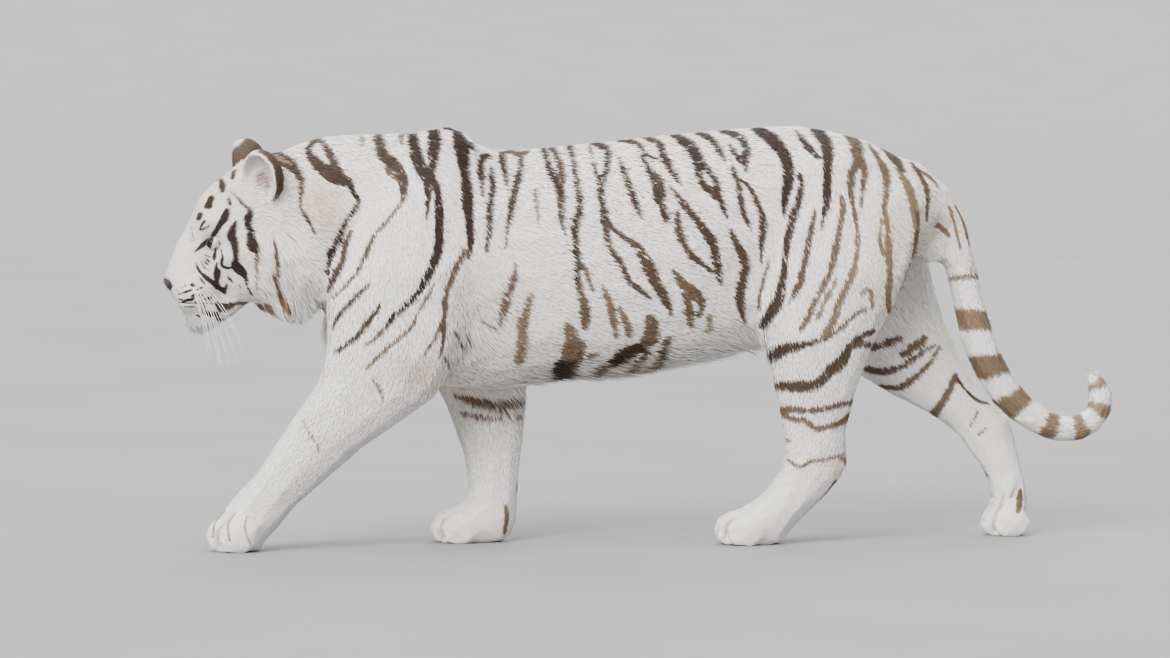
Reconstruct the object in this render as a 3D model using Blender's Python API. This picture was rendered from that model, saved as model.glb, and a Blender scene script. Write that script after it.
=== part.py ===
"""White tiger, adult male, walking: a still, life-size model.

The body is first modelled whole, out to the tips of its coat, from lofted trunk, head, legs and
tail with muscle masses laid over them. It is fused, smoothed, thinned to facets and then parted
into named pieces by thin cuts. Eyes, nose leather, ears and claws are solids of their own.

Metres, +Z up. The tiger walks towards -X, so its left side is at -Y. The floor is z = 0.
"""

import math

import bmesh
import bpy
import numpy as np
from mathutils import Euler, Matrix, Vector
from mathutils.bvhtree import BVHTree

# ---------------------------------------------------------------- driving dimensions

GAP = 0.0003                 # clearance left by every cut
VOXEL = 0.007                # grain of the fused body
FLESH_TRIANGLES = 3030       # facets kept on the whole body
SMOOTHING_ROUNDS = 40
SMOOTHING_STRENGTH = 0.6     # share of the way to its neighbours' middle a point goes each round
FACE_COARSENESS = 0.85       # facet size of the face, of the paws and of the tail's tip, where the
PAW_COARSENESS = 0.91        # rest of the body is 1
TAIL_COARSENESS = 0.90
EAR_ROOT_COARSENESS = 0.92
RING_POINTS = 28             # points round a lofted section
STEPS_BETWEEN = 6            # rings filled in between two stated sections
ARC_STEPS = 9                # straight runs in the round ends of shoulder and thigh cuts
FLOOR_SINK = 0.005           # how far soles are modelled below the floor before it cuts them flat

# Trunk sections: x, top, bottom, half width.
TRUNK = [
    (-0.880, 0.938, 0.650, 0.113),
    (-0.800, 0.972, 0.600, 0.126),
    (-0.730, 0.984, 0.520, 0.140),
    (-0.660, 0.988, 0.455, 0.154),
    (-0.560, 0.988, 0.402, 0.166),
    (-0.460, 0.984, 0.376, 0.177),
    (-0.340, 0.948, 0.370, 0.184),
    (-0.200, 0.957, 0.386, 0.191),
    (-0.050, 0.971, 0.391, 0.194),
    (0.100, 0.985, 0.418, 0.188),
    (0.240, 0.997, 0.452, 0.170),
    (0.360, 1.004, 0.496, 0.156),
    (0.480, 0.990, 0.560, 0.149),
    (0.580, 0.956, 0.620, 0.135),
    (0.670, 0.904, 0.690, 0.109),
    (0.730, 0.846, 0.750, 0.057),
]

# Legs, outer edge to outer edge of the coat in side view:
# front x, front z, rear x, rear z, middle y (outwards), half thickness sideways.
LEFT_FORELEG = [
    (-0.590, 0.960, -0.440, 0.960, 0.062, 0.040),
    (-0.680, 0.840, -0.410, 0.850, 0.101, 0.065),
    (-0.760, 0.690, -0.410, 0.690, 0.125, 0.078),
    (-0.775, 0.600, -0.425, 0.590, 0.131, 0.080),
    (-0.772, 0.505, -0.455, 0.470, 0.135, 0.076),
    (-0.787, 0.418, -0.505, 0.368, 0.131, 0.068),
    (-0.834, 0.347, -0.585, 0.308, 0.122, 0.062),
    (-0.882, 0.272, -0.678, 0.243, 0.111, 0.056),
    (-0.935, 0.192, -0.768, 0.166, 0.101, 0.052),
    (-0.982, 0.136, -0.834, 0.108, 0.092, 0.052),
    (-1.012, 0.092, -0.874, 0.062, 0.087, 0.055),
    (-1.010, 0.050, -0.910, 0.026, 0.084, 0.050),
]
RIGHT_FORELEG = [
    (-0.560, 0.975, -0.400, 0.975, 0.062, 0.040),
    (-0.640, 0.850, -0.360, 0.850, 0.101, 0.065),
    (-0.690, 0.700, -0.325, 0.700, 0.127, 0.078),
    (-0.690, 0.600, -0.290, 0.590, 0.133, 0.079),
    (-0.620, 0.500, -0.255, 0.500, 0.133, 0.075),
    (-0.520, 0.425, -0.248, 0.420, 0.127, 0.068),
    (-0.466, 0.352, -0.252, 0.352, 0.117, 0.062),
    (-0.434, 0.268, -0.260, 0.267, 0.106, 0.056),
    (-0.412, 0.196, -0.271, 0.195, 0.096, 0.052),
    (-0.402, 0.132, -0.279, 0.120, 0.089, 0.051),
    (-0.418, 0.090, -0.282, 0.064, 0.086, 0.053),
    (-0.430, 0.050, -0.292, 0.024, 0.084, 0.050),
]
LEFT_HINDLEG = [
    (0.290, 0.940, 0.580, 0.920, 0.060, 0.045),
    (0.240, 0.820, 0.670, 0.830, 0.095, 0.065),
    (0.232, 0.690, 0.656, 0.700, 0.109, 0.078),
    (0.250, 0.575, 0.606, 0.575, 0.114, 0.079),
    (0.277, 0.495, 0.562, 0.500, 0.114, 0.073),
    (0.296, 0.430, 0.532, 0.420, 0.110, 0.065),
    (0.320, 0.328, 0.505, 0.335, 0.102, 0.055),
    (0.336, 0.240, 0.490, 0.258, 0.095, 0.049),
    (0.332, 0.188, 0.497, 0.186, 0.092, 0.048),
    (0.290, 0.126, 0.442, 0.112, 0.089, 0.047),
    (0.246, 0.094, 0.382, 0.058, 0.087, 0.052),
    (0.220, 0.072, 0.344, 0.018, 0.085, 0.052),
]
RIGHT_HINDLEG = [
    (0.310, 0.940, 0.600, 0.915, 0.060, 0.045),
    (0.290, 0.800, 0.700, 0.805, 0.097, 0.067),
    (0.350, 0.650, 0.738, 0.670, 0.111, 0.080),
    (0.440, 0.505, 0.760, 0.575, 0.111, 0.076),
    (0.530, 0.412, 0.786, 0.496, 0.106, 0.067),
    (0.620, 0.352, 0.824, 0.416, 0.100, 0.058),
    (0.700, 0.312, 0.873, 0.332, 0.094, 0.051),
    (0.772, 0.268, 0.930, 0.296, 0.089, 0.046),
    (0.824, 0.211, 0.950, 0.232, 0.084, 0.042),
    (0.866, 0.152, 0.964, 0.168, 0.080, 0.041),
    (0.884, 0.098, 0.975, 0.098, 0.077, 0.045),
    (0.880, 0.050, 0.968, 0.046, 0.076, 0.050),
]

# Paws: toe tip x, heel x, middle y, height over the toes, height at the back.
PAW_WIDTH = 0.134
TOE_SPREAD = 0.80            # share of the paw's width between the outer toes' middles
PAWS = {
    "forepaw_left": (-1.056, -0.914, -0.086, 0.086, 0.088),
    "forepaw_right": (-0.502, -0.298, 0.084, 0.082, 0.094),
    "hindpaw_left": (0.164, 0.346, -0.086, 0.082, 0.090),
    "hindpaw_right": (0.856, 0.972, 0.076, 0.074, 0.086),
}
TOES = 4
TOE_SETBACK = 0.026          # how far the outer toes stand behind the inner ones
PAD_RISE = 0.012             # half height of a toe pad above the floor
HEEL_RISE = 0.022
CLAW_LENGTH = 0.020
CLAW_BURIED = 0.55           # share of a claw's length that lies inside the toe
CLAW_HOOK = math.radians(80)                      # turn of a claw from root to point
CLAW_THICKNESS = 0.0048
CLAW_TAPER = 0.82            # share of the thickness lost by the point
CLAW_RINGS = 3
CLAW_SIDES = 5

# Tail: x, y, z, radius, along the middle line. The tip curls up and forward.
TAIL = [
    (0.630, 0.000, 0.872, 0.066),
    (0.706, 0.000, 0.828, 0.058),
    (0.756, 0.000, 0.764, 0.048),
    (0.781, -0.004, 0.690, 0.043),
    (0.795, -0.010, 0.630, 0.042),
    (0.806, -0.016, 0.575, 0.042),
    (0.820, -0.022, 0.512, 0.0445),
    (0.844, -0.025, 0.443, 0.0445),
    (0.879, -0.026, 0.378, 0.0440),
    (0.914, -0.026, 0.334, 0.0435),
    (0.962, -0.026, 0.296, 0.0405),
    (1.022, -0.025, 0.266, 0.0375),
    (1.082, -0.025, 0.266, 0.0360),
    (1.124, -0.023, 0.296, 0.0340),
    (1.138, -0.021, 0.334, 0.0340),
    (1.131, -0.019, 0.366, 0.0320),
    (1.117, -0.017, 0.380, 0.0250),
]

# Head, in its own frame: s runs forward along the skull, t up at right angles to it, and
# sideways distances are positive on the animal's left.
HEAD_SIDES = (("left", 1), ("right", -1))
HEAD_ORIGIN = (-0.860, 0.0, 0.760)
HEAD_PITCH = math.radians(36.87)
HEAD_YAW = math.radians(5.0)
HEAD_ROLL = math.radians(3.0)
# Sections: s, top t, bottom t, half width, squareness.
HEAD = [
    (-0.110, 0.150, -0.150, 0.118, 2.0),
    (-0.060, 0.176, -0.150, 0.138, 2.0),
    (-0.010, 0.189, -0.140, 0.150, 2.1),
    (0.050, 0.192, -0.120, 0.144, 2.1),
    (0.100, 0.180, -0.106, 0.122, 2.1),
    (0.150, 0.160, -0.096, 0.096, 2.2),
    (0.190, 0.138, -0.090, 0.074, 2.3),
    (0.225, 0.118, -0.088, 0.060, 2.4),
    (0.260, 0.099, -0.088, 0.055, 2.5),
    (0.288, 0.084, -0.084, 0.048, 2.6),
    (0.304, 0.062, -0.070, 0.036, 2.4),
]
EYE_PLACE = (0.155, 0.064, 0.088)        # s, sideways, t of the eyeball's middle
EYE_RADIUS = 0.0175
# s, sideways, t of each ear's middle; the right ear is held a little further back.
EAR_PLACE = {"left": (-0.022, 0.114, 0.148), "right": (-0.036, 0.114, 0.149)}
EAR_TURN = (-27.0, -12.0, 42.0)          # lean outwards, lean back, opening turned outwards
EAR_RADII = (0.046, 0.053, 0.069)        # depth of the cup, half width, half height
EAR_WALL = 0.012
EAR_HOLLOW = 0.022           # how far forward of the ear its hollow is centred
NOSE_PLACE = (0.284, 0.0, 0.058)
NOSE_RADII = (0.015, 0.025, 0.019)
NOSE_STANDOUT = 0.004

DENT_CUTOFF = 2.5            # reaches beyond which a dent no longer moves the surface
# Hollows and swellings of the finished form: s or x, sideways, t or z, reach, depth inwards.
HEAD_DENTS = [
    (0.164, 0.080, 0.080, 0.022, 0.0120),     # eye socket
    (0.200, 0.062, 0.060, 0.030, 0.0060),     # side of the muzzle below the eye
    (0.222, 0.070, -0.030, 0.022, 0.0050),    # corner of the mouth
    (0.060, 0.000, 0.192, 0.040, 0.0030),     # furrow of the forehead
    (0.135, 0.060, 0.125, 0.022, -0.0050),    # brow
    (0.262, 0.070, 0.016, 0.028, -0.0050),    # whisker pad
]
BODY_DENTS = [
    (-0.300, 0.172, 0.560, 0.080, 0.0100),    # behind the elbow
    (0.220, 0.160, 0.640, 0.090, 0.0120),     # flank in front of the thigh
    (-0.390, 0.130, 0.870, 0.060, 0.0080),    # behind the shoulder blade
    (-0.820, 0.140, 0.830, 0.060, 0.0080),    # neck behind the ear
]

# Cuts that part the body: a point on the cut and the direction of the piece cut off, in x, z.
HEAD_CUT = ((-0.865, 0.780), (-1.0, -0.32))
NECK_CUT = ((-0.735, 0.760), (-1.0, -0.05))
CHEST_CUT = ((-0.300, 0.700), (-1.0, 0.0))
BELLY_CUT = ((0.215, 0.700), (-1.0, 0.0))
MUZZLE_START = 0.206                              # s, in the head's frame
MOUTH_LINE = ((0.206, -0.064), (0.300, 0.012))    # s, t at its corner and its front
TAIL_CUTS = [
    ("tail_root", (0.720, 0.780), (0.978, 0.210), 0.150),
    ("tail_upper", (0.792, 0.655), (0.20, -0.98), 0.062),
    ("tail_middle", (0.846, 0.439), (0.42, -0.91), 0.085),
    ("tail_tip", (1.000, 0.277), (0.92, -0.39), 0.200),
]
# Legs: name, side, point on the cut, direction, reach along the cut, inner y.
LEG_CUTS = [
    ("forepaw_left", -1, (-0.940, 0.105), (-0.55, -0.83), 0.12, 0.004),
    ("forearm_left", -1, (-0.650, 0.412), (-0.62, -0.78), 0.20, 0.045),
    ("forepaw_right", 1, (-0.345, 0.108), (-0.22, -0.97), 0.16, 0.004),
    ("forearm_right", 1, (-0.375, 0.366), (0.0, -1.0), 0.16, 0.030),
    ("hindpaw_left", -1, (0.318, 0.082), (-0.78, -0.62), 0.13, 0.004),
    ("metatarsus_left", -1, (0.415, 0.205), (-0.30, -0.95), 0.14, 0.004),
    ("shank_left", -1, (0.415, 0.478), (0.05, -1.0), 0.18, 0.020),
    ("hindpaw_right", 1, (0.926, 0.088), (0.10, -0.99), 0.10, 0.004),
    ("metatarsus_right", 1, (0.865, 0.270), (0.72, -0.69), 0.11, 0.004),
    ("shank_right", 1, (0.640, 0.458), (0.40, -0.92), 0.17, 0.020),
]
# Shoulders and thighs: side, upper point and radius, lower point and radius, inner y.
LEG_ROOTS = [
    ("upper_arm_left", -1, (-0.560, 0.790), 0.140, (-0.620, 0.480), 0.200, 0.062),
    ("upper_arm_right", 1, (-0.510, 0.790), 0.140, (-0.450, 0.480), 0.236, 0.062),
    ("thigh_left", -1, (0.440, 0.780), 0.170, (0.420, 0.520), 0.185, 0.036),
    ("thigh_right", 1, (0.490, 0.780), 0.170, (0.590, 0.520), 0.205, 0.034),
]

# Colours, linear RGB.
WHITE_COAT = (0.78, 0.76, 0.71)
CREAM_COAT = (0.68, 0.62, 0.52)
TAIL_COAT = (0.62, 0.57, 0.50)
EAR_COAT = (0.40, 0.35, 0.31)
NOSE_PINK = (0.36, 0.17, 0.15)
EYE_BLUE = (0.20, 0.36, 0.48)
CLAW_HORN = (0.62, 0.56, 0.47)


# ---------------------------------------------------------------- materials and mesh helpers

def material(name, colour, roughness, metallic=0.0):
    """A Principled BSDF material with one colour."""
    made = bpy.data.materials.new(name)
    made.use_nodes = True
    shader = made.node_tree.nodes["Principled BSDF"]
    shader.inputs["Base Color"].default_value = (*colour, 1.0)
    shader.inputs["Roughness"].default_value = roughness
    shader.inputs["Metallic"].default_value = metallic
    made.diffuse_color = (*colour, 1.0)
    return made


def mesh_object(name, points, faces):
    """An object from points and faces, with its faces turned outwards."""
    mesh = bpy.data.meshes.new(name)
    mesh.from_pydata([tuple(point) for point in points], [], faces)
    made = bpy.data.objects.new(name, mesh)
    bpy.context.scene.collection.objects.link(made)
    work = bmesh.new()
    work.from_mesh(mesh)
    bmesh.ops.recalc_face_normals(work, faces=work.faces)
    work.to_mesh(mesh)
    work.free()
    return made


def remove(thing):
    """Delete an object and its mesh."""
    mesh = thing.data
    bpy.data.objects.remove(thing)
    bpy.data.meshes.remove(mesh)


def copy_object(source, name):
    """A separate copy of an object and its mesh."""
    made = source.copy()
    made.data = source.data.copy()
    made.name = name
    bpy.context.scene.collection.objects.link(made)
    return made


def bake_modifiers(thing):
    """Replace an object's mesh with what its modifiers make of it."""
    graph = bpy.context.evaluated_depsgraph_get()
    made = bpy.data.meshes.new_from_object(thing.evaluated_get(graph))
    old = thing.data
    thing.modifiers.clear()
    thing.data = made
    bpy.data.meshes.remove(old)


def boolean(target, cutter, operation):
    """Apply an exact Boolean of cutter to target."""
    step = target.modifiers.new("cut", "BOOLEAN")
    step.operation = operation
    step.solver = "EXACT"
    step.object = cutter
    bake_modifiers(target)


def grow(thing, distance):
    """Move every point of a smooth closed mesh outwards along its normal."""
    normals = [vertex.normal.copy() for vertex in thing.data.vertices]
    for vertex, normal in zip(thing.data.vertices, normals):
        vertex.co += normal * distance


def smooth_path(stations, steps):
    """Catmull-Rom values through the stated rows, with steps rows from each to the next."""
    rows = np.array(stations, dtype=float)
    before = 2 * rows[0] - rows[1]
    after = 2 * rows[-1] - rows[-2]
    padded = np.vstack([before, rows, after])
    made = []
    for index in range(1, len(padded) - 2):
        p0, p1, p2, p3 = padded[index - 1:index + 3]
        for step in range(steps):
            f = step / steps
            made.append(0.5 * (2 * p1 + (p2 - p0) * f + (2 * p0 - 5 * p1 + 4 * p2 - p3) * f ** 2
                               + (3 * p1 - p0 - 3 * p2 + p3) * f ** 3))
    made.append(rows[-1])
    return np.array(made)


def oval(centre, side, up, half_width, rise, drop, power=2.0):
    """Points of a closed oval with its own height above and depth below the centre."""
    points = []
    for index in range(RING_POINTS):
        angle = 2 * math.pi * index / RING_POINTS
        across = math.copysign(abs(math.cos(angle)) ** (2 / power), math.cos(angle))
        along = math.copysign(abs(math.sin(angle)) ** (2 / power), math.sin(angle))
        height = along * (rise if along > 0 else drop)
        points.append(centre + side * (across * half_width) + up * height)
    return points


def loft(name, rings):
    """A closed body through rings of equal count, with flat ends."""
    points = [point for ring in rings for point in ring]
    count = len(rings[0])
    faces = []
    for ring in range(len(rings) - 1):
        for index in range(count):
            following = (index + 1) % count
            faces.append((ring * count + index, ring * count + following,
                          (ring + 1) * count + following, (ring + 1) * count + index))
    faces.append(tuple(reversed(range(count))))
    faces.append(tuple(range((len(rings) - 1) * count, len(rings) * count)))
    return mesh_object(name, points, faces)


def ellipsoid(name, centre, radii, turn=(0.0, 0.0, 0.0), frame=None, segments=24, rings=14):
    """An ellipsoid turned by Euler angles in degrees, in the world or in another frame."""
    mesh = bpy.data.meshes.new(name)
    work = bmesh.new()
    bmesh.ops.create_uvsphere(work, u_segments=segments, v_segments=rings, radius=1.0)
    turn_matrix = Euler([math.radians(angle) for angle in turn]).to_matrix().to_4x4()
    place = Matrix.Translation(centre) @ turn_matrix @ Matrix.Diagonal((*radii, 1.0))
    if frame is not None:
        place = frame @ place
    bmesh.ops.transform(work, matrix=place, verts=work.verts)
    work.to_mesh(mesh)
    work.free()
    made = bpy.data.objects.new(name, mesh)
    bpy.context.scene.collection.objects.link(made)
    return made


def box(name, low, high, frame=None):
    """A box between two corners, in the world or in another frame."""
    corners = [Vector((x, y, z)) for x in (low[0], high[0]) for y in (low[1], high[1])
               for z in (low[2], high[2])]
    if frame is not None:
        corners = [frame @ corner for corner in corners]
    faces = [(0, 1, 3, 2), (4, 6, 7, 5), (0, 4, 5, 1), (2, 3, 7, 6), (0, 2, 6, 4), (1, 5, 7, 3)]
    return mesh_object(name, corners, faces)


def slab_frame(point, normal):
    """A frame at a point whose +X looks along a normal lying near the X-Z plane."""
    ahead = Vector(normal).normalized()
    side = Vector((0, 1, 0))
    side = (side - ahead * side.dot(ahead)).normalized()
    up = ahead.cross(side)
    return Matrix.Translation(point) @ Matrix((ahead, side, up)).transposed().to_4x4()


def head_frame():
    """The head's frame: +X forward along the skull, +Y to its left (-Y of the world), +Z up."""
    ahead = Vector((-math.cos(HEAD_PITCH), 0, -math.sin(HEAD_PITCH)))
    up = Vector((-math.sin(HEAD_PITCH), 0, math.cos(HEAD_PITCH)))
    left = up.cross(ahead)
    turn = Euler((HEAD_ROLL, 0, HEAD_YAW)).to_matrix().to_4x4()
    axes = Matrix((ahead, left, up)).transposed().to_4x4()
    return Matrix.Translation(HEAD_ORIGIN) @ turn @ axes


# ---------------------------------------------------------------- the body, modelled whole

def make_trunk():
    """Neck root, rib cage, belly and rump as upright ovals along the spine."""
    rings = []
    for x, top, bottom, half in smooth_path(TRUNK, STEPS_BETWEEN):
        middle = bottom + 0.50 * (top - bottom)
        rings.append(oval(Vector((x, 0, middle)), Vector((0, 1, 0)), Vector((0, 0, 1)), half,
                          top - middle, middle - bottom, 2.15))
    return loft("trunk", rings)


def make_leg(name, sections, side):
    """One leg from its front and rear edges; side is -1 on the left and 1 on the right."""
    rings = []
    for fx, fz, rx, rz, y, half in smooth_path(sections, STEPS_BETWEEN):
        front = Vector((fx, side * y, fz))
        rear = Vector((rx, side * y, rz))
        fore = (front - rear) / 2
        rings.append(oval((front + rear) / 2, Vector((0, 1, 0)), fore.normalized(), half,
                          fore.length, fore.length, 2.2))
    return loft(name, rings)


def toe_places():
    """Sideways place and setback of each toe of a paw."""
    half = PAW_WIDTH * TOE_SPREAD / 2
    places = []
    for index in range(TOES):
        across = -half + 2 * half * index / (TOES - 1)
        setback = TOE_SETBACK * (across / half) ** 2
        places.append((across, setback))
    return places


def make_paw(name, toe_x, heel_x, y, toe_height, back_height):
    """A rounded paw with four toes, toe pads and a heel pad, from the toe tips to the heel."""
    frame = Matrix.Translation((toe_x, y, 0))
    length = heel_x - toe_x
    toe = min(0.048, length * 0.40)
    parts = [ellipsoid(name + "_instep", (length * 0.55, 0, back_height * 0.42),
                       (length * 0.43, PAW_WIDTH * 0.45, back_height * 0.58), frame=frame),
             ellipsoid(name + "_knuckles", (toe * 1.5, 0, toe_height * 0.46),
                       (toe * 1.1, PAW_WIDTH * 0.48, toe_height * 0.50), frame=frame)]
    for across, setback in toe_places():
        parts.append(ellipsoid(name + "_toe", (toe + setback, across, toe_height * 0.44),
                               (toe, PAW_WIDTH * 0.145, toe_height * 0.52),
                               (0, -14, across * 150), frame))
        parts.append(ellipsoid(name + "_pad", (toe * 0.75 + setback, across, PAD_RISE),
                               (toe * 0.46, PAW_WIDTH * 0.11, PAD_RISE + FLOOR_SINK), frame=frame))
    parts.append(ellipsoid(name + "_heel", (length * 0.72, 0, HEEL_RISE),
                           (length * 0.27, PAW_WIDTH * 0.38, HEEL_RISE + FLOOR_SINK), frame=frame))
    return parts


def make_tail():
    """The tail as a tube of changing radius along its middle line."""
    path = smooth_path(TAIL, STEPS_BETWEEN)
    rings = []
    for index, (x, y, z, radius) in enumerate(path):
        last = path[max(index - 1, 0)]
        following = path[min(index + 1, len(path) - 1)]
        along = Vector((following[0] - last[0], 0, following[2] - last[2])).normalized()
        across = Vector((along.z, 0, -along.x))
        rings.append(oval(Vector((x, y, z)), Vector((0, 1, 0)), across, radius, radius, radius))
    x, y, z, radius = TAIL[-1]
    return [loft("tail", rings), ellipsoid("tail_end", (x, y, z), (radius * 1.2,) * 3)]


def make_head(frame):
    """Skull, cheeks, brow, muzzle, chin and ruff."""
    rings = []
    for s, top, bottom, half, power in smooth_path(HEAD, STEPS_BETWEEN):
        middle = bottom + 0.46 * (top - bottom)
        rings.append([frame @ point for point in
                      oval(Vector((s, 0, middle)), Vector((0, 1, 0)), Vector((0, 0, 1)), half,
                           top - middle, middle - bottom, power)])
    parts = [loft("skull", rings)]
    parts.append(ellipsoid("chin", (0.288, 0, -0.052), (0.044, 0.046, 0.038), frame=frame))
    parts.append(ellipsoid("jaw", (0.220, 0, -0.058), (0.090, 0.066, 0.036), frame=frame))
    parts.append(ellipsoid("throat", (0.040, 0, -0.100), (0.110, 0.100, 0.075), frame=frame))
    parts.append(ellipsoid("bridge", (0.222, 0, 0.092), (0.088, 0.040, 0.032), (0, 30, 0), frame))
    parts.append(ellipsoid("nose_tip", (0.276, 0, 0.064), (0.028, 0.036, 0.028), frame=frame))
    parts.append(ellipsoid("forehead", (0.080, 0, 0.130), (0.090, 0.080, 0.060), (0, 12, 0), frame))
    for side in (-1, 1):
        parts.append(ellipsoid("whisker_pad", (0.258, side * 0.036, 0.012), (0.056, 0.038, 0.044),
                               (0, 14, side * -10), frame))
        parts.append(ellipsoid("cheek_bone", (0.104, side * 0.086, 0.030), (0.078, 0.048, 0.048),
                               (0, 0, side * -26), frame))
        parts.append(ellipsoid("jaw_muscle", (0.105, side * 0.080, -0.038), (0.085, 0.058, 0.070),
                               (0, 0, side * -16), frame))
        parts.append(ellipsoid("brow", (0.132, side * 0.052, 0.128), (0.044, 0.038, 0.030),
                               (0, 10, side * -20), frame))
        parts.append(ellipsoid("ear_root", (-0.030, side * 0.088, 0.130), (0.045, 0.046, 0.050),
                               frame=frame))
        parts.append(ellipsoid("ruff", (0.030, side * 0.106, -0.050), (0.086, 0.066, 0.118),
                               (0, 20, side * -10), frame))
        parts.append(ellipsoid("ruff_tail", (0.078, side * 0.072, -0.122), (0.084, 0.066, 0.078),
                               (0, 30, side * -6), frame))
    return parts


def make_masses():
    """Muscle and hair masses laid over the lofts on both sides."""
    parts = []
    for side, fore in ((-1, -0.020), (1, 0.015)):
        parts.append(ellipsoid("blade", (-0.490 + fore, side * 0.076, 0.862), (0.125, 0.056, 0.148),
                               (0, 16, side * 4)))
        parts.append(ellipsoid("hip", (0.440, side * 0.060, 0.860), (0.190, 0.092, 0.120),
                               (0, 10, 0)))
        parts.append(ellipsoid("neck_side", (-0.770, side * 0.052, 0.790), (0.150, 0.100, 0.160),
                               (0, 20, 0)))
    parts.append(ellipsoid("brisket", (-0.680, 0, 0.520), (0.085, 0.120, 0.100), (0, 20, 0)))
    parts.append(ellipsoid("scrotum_root", (0.690, 0, 0.730), (0.050, 0.042, 0.060)))
    for side in (-1, 1):
        parts.append(ellipsoid("scrotum", (0.712, side * 0.020, 0.704), (0.034, 0.030, 0.042)))
    return parts


def fuse(parts, name):
    """Join overlapping closed bodies into one closed skin of even grain."""
    with bpy.context.temp_override(active_object=parts[0], selected_editable_objects=parts,
                                   selected_objects=parts, object=parts[0]):
        bpy.ops.object.join()
    made = parts[0]
    made.name = name
    step = made.modifiers.new("fuse", "REMESH")
    step.mode = "VOXEL"
    step.voxel_size = VOXEL
    bake_modifiers(made)
    return made


def relax(thing, rounds, firm_spots):
    """Laplacian smoothing, weaker near the stated spots (place, radius, strength there)."""
    mesh = thing.data
    count = len(mesh.vertices)
    places = np.empty(count * 3)
    mesh.vertices.foreach_get("co", places)
    places = places.reshape(-1, 3)
    ends = np.empty(len(mesh.edges) * 2, dtype=np.int64)
    mesh.edges.foreach_get("vertices", ends)
    ends = ends.reshape(-1, 2)
    degree = np.bincount(ends.ravel(), minlength=count).astype(float)
    strength = np.full(count, SMOOTHING_STRENGTH)
    for centre, radius, least in firm_spots:
        away = np.linalg.norm(places - np.array(centre), axis=1) / radius
        here = least + (SMOOTHING_STRENGTH - least) * np.clip(away ** 2, 0, 1)
        strength = np.minimum(strength, here)
    for _ in range(rounds):
        total = np.zeros_like(places)
        for axis in range(3):
            total[:, axis] += np.bincount(ends[:, 0], places[ends[:, 1], axis], count)
            total[:, axis] += np.bincount(ends[:, 1], places[ends[:, 0], axis], count)
        mean = total / degree[:, None]
        places += (mean - places) * strength[:, None]
    mesh.vertices.foreach_set("co", places.ravel())
    mesh.update()


def thin_out(thing, triangles, fine_spots):
    """Reduce to a count of triangles, with more kept near the spots (place, radius, size there)."""
    mesh = thing.data
    group = thing.vertex_groups.new(name="coarse")
    for vertex in mesh.vertices:
        weight = 1.0
        for centre, radius, share in fine_spots:
            away = (vertex.co - Vector(centre)).length / radius
            weight = min(weight, share + (1 - share) * min(away, 1.0) ** 4)
        group.add([vertex.index], weight, "REPLACE")
    present = sum(len(face.vertices) - 2 for face in mesh.polygons)
    step = thing.modifiers.new("thin", "DECIMATE")
    step.decimate_type = "COLLAPSE"
    step.ratio = triangles / present
    step.vertex_group = "coarse"
    step.vertex_group_factor = 1.0
    step.use_collapse_triangulate = True
    bake_modifiers(thing)
    thing.vertex_groups.clear()


def press(thing, dents):
    """Push the surface inwards around each place (place, reach, depth), fading like a bell."""
    mesh = thing.data
    moves = [Vector((0, 0, 0)) for _ in mesh.vertices]
    for place, reach, depth in dents:
        for vertex in mesh.vertices:
            away = (vertex.co - place).length / reach
            if away < DENT_CUTOFF:
                moves[vertex.index] -= vertex.normal * (depth * math.exp(-away * away))
    for vertex, move in zip(mesh.vertices, moves):
        vertex.co += move
    mesh.update()


def both_sides(rows, frame=None):
    """Places of a table of dents on the left and the right, each once if it is in the middle."""
    made = []
    for ahead, sideways, high, reach, depth in rows:
        for side in ((-1, 1) if sideways else (1,)):
            place = Vector((ahead, side * sideways, high))
            made.append((frame @ place if frame else place, reach, depth))
    return made


def make_body(frame):
    """The whole animal but its ears, as one closed faceted skin."""
    parts = [make_trunk()]
    parts += [make_leg("foreleg_left", LEFT_FORELEG, -1), make_leg("foreleg_right", RIGHT_FORELEG, 1)]
    parts += [make_leg("hindleg_left", LEFT_HINDLEG, -1), make_leg("hindleg_right", RIGHT_HINDLEG, 1)]
    for name, sizes in PAWS.items():
        parts += make_paw(name, *sizes)
    parts += make_tail()
    parts += make_head(frame)
    parts += make_masses()
    body = fuse(parts, "body")
    face = frame @ Vector((0.17, 0, 0.03))
    firm_spots = [(face, 0.20, 0.14)]
    fine_spots = [(face, 0.20, FACE_COARSENESS)]
    for toe_x, heel_x, y, _, _ in PAWS.values():
        paw = Vector(((toe_x + heel_x) / 2, y, 0.02))
        firm_spots.append((paw, 0.16, 0.05))
        fine_spots.append((paw, 0.15, PAW_COARSENESS))
    fine_spots.append((Vector((1.09, -0.02, 0.33)), 0.16, TAIL_COARSENESS))
    for side in (-1, 1):
        fine_spots.append((frame @ Vector((-0.02, side * 0.09, 0.10)), 0.10, EAR_ROOT_COARSENESS))
    relax(body, SMOOTHING_ROUNDS, firm_spots)
    press(body, both_sides(HEAD_DENTS, frame) + both_sides(BODY_DENTS))
    thin_out(body, FLESH_TRIANGLES, fine_spots)
    floor = box("floor", (-1.5, -0.5, -0.1), (1.5, 0.5, 0.0))
    boolean(body, floor, "DIFFERENCE")
    remove(floor)
    return body


# ---------------------------------------------------------------- parting it into named pieces

def biggest_island(thing):
    """Keep only the largest connected piece of a mesh."""
    work = bmesh.new()
    work.from_mesh(thing.data)
    waiting = set(work.verts)
    islands = []
    while waiting:
        island = {waiting.pop()}
        edge_of_island = list(island)
        while edge_of_island:
            vertex = edge_of_island.pop()
            for edge in vertex.link_edges:
                other = edge.other_vert(vertex)
                if other not in island:
                    island.add(other)
                    edge_of_island.append(other)
        waiting -= island
        islands.append(island)
    islands.sort(key=len)
    for island in islands[:-1]:
        bmesh.ops.delete(work, geom=list(island), context="VERTS")
    work.to_mesh(thing.data)
    work.free()


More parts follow.
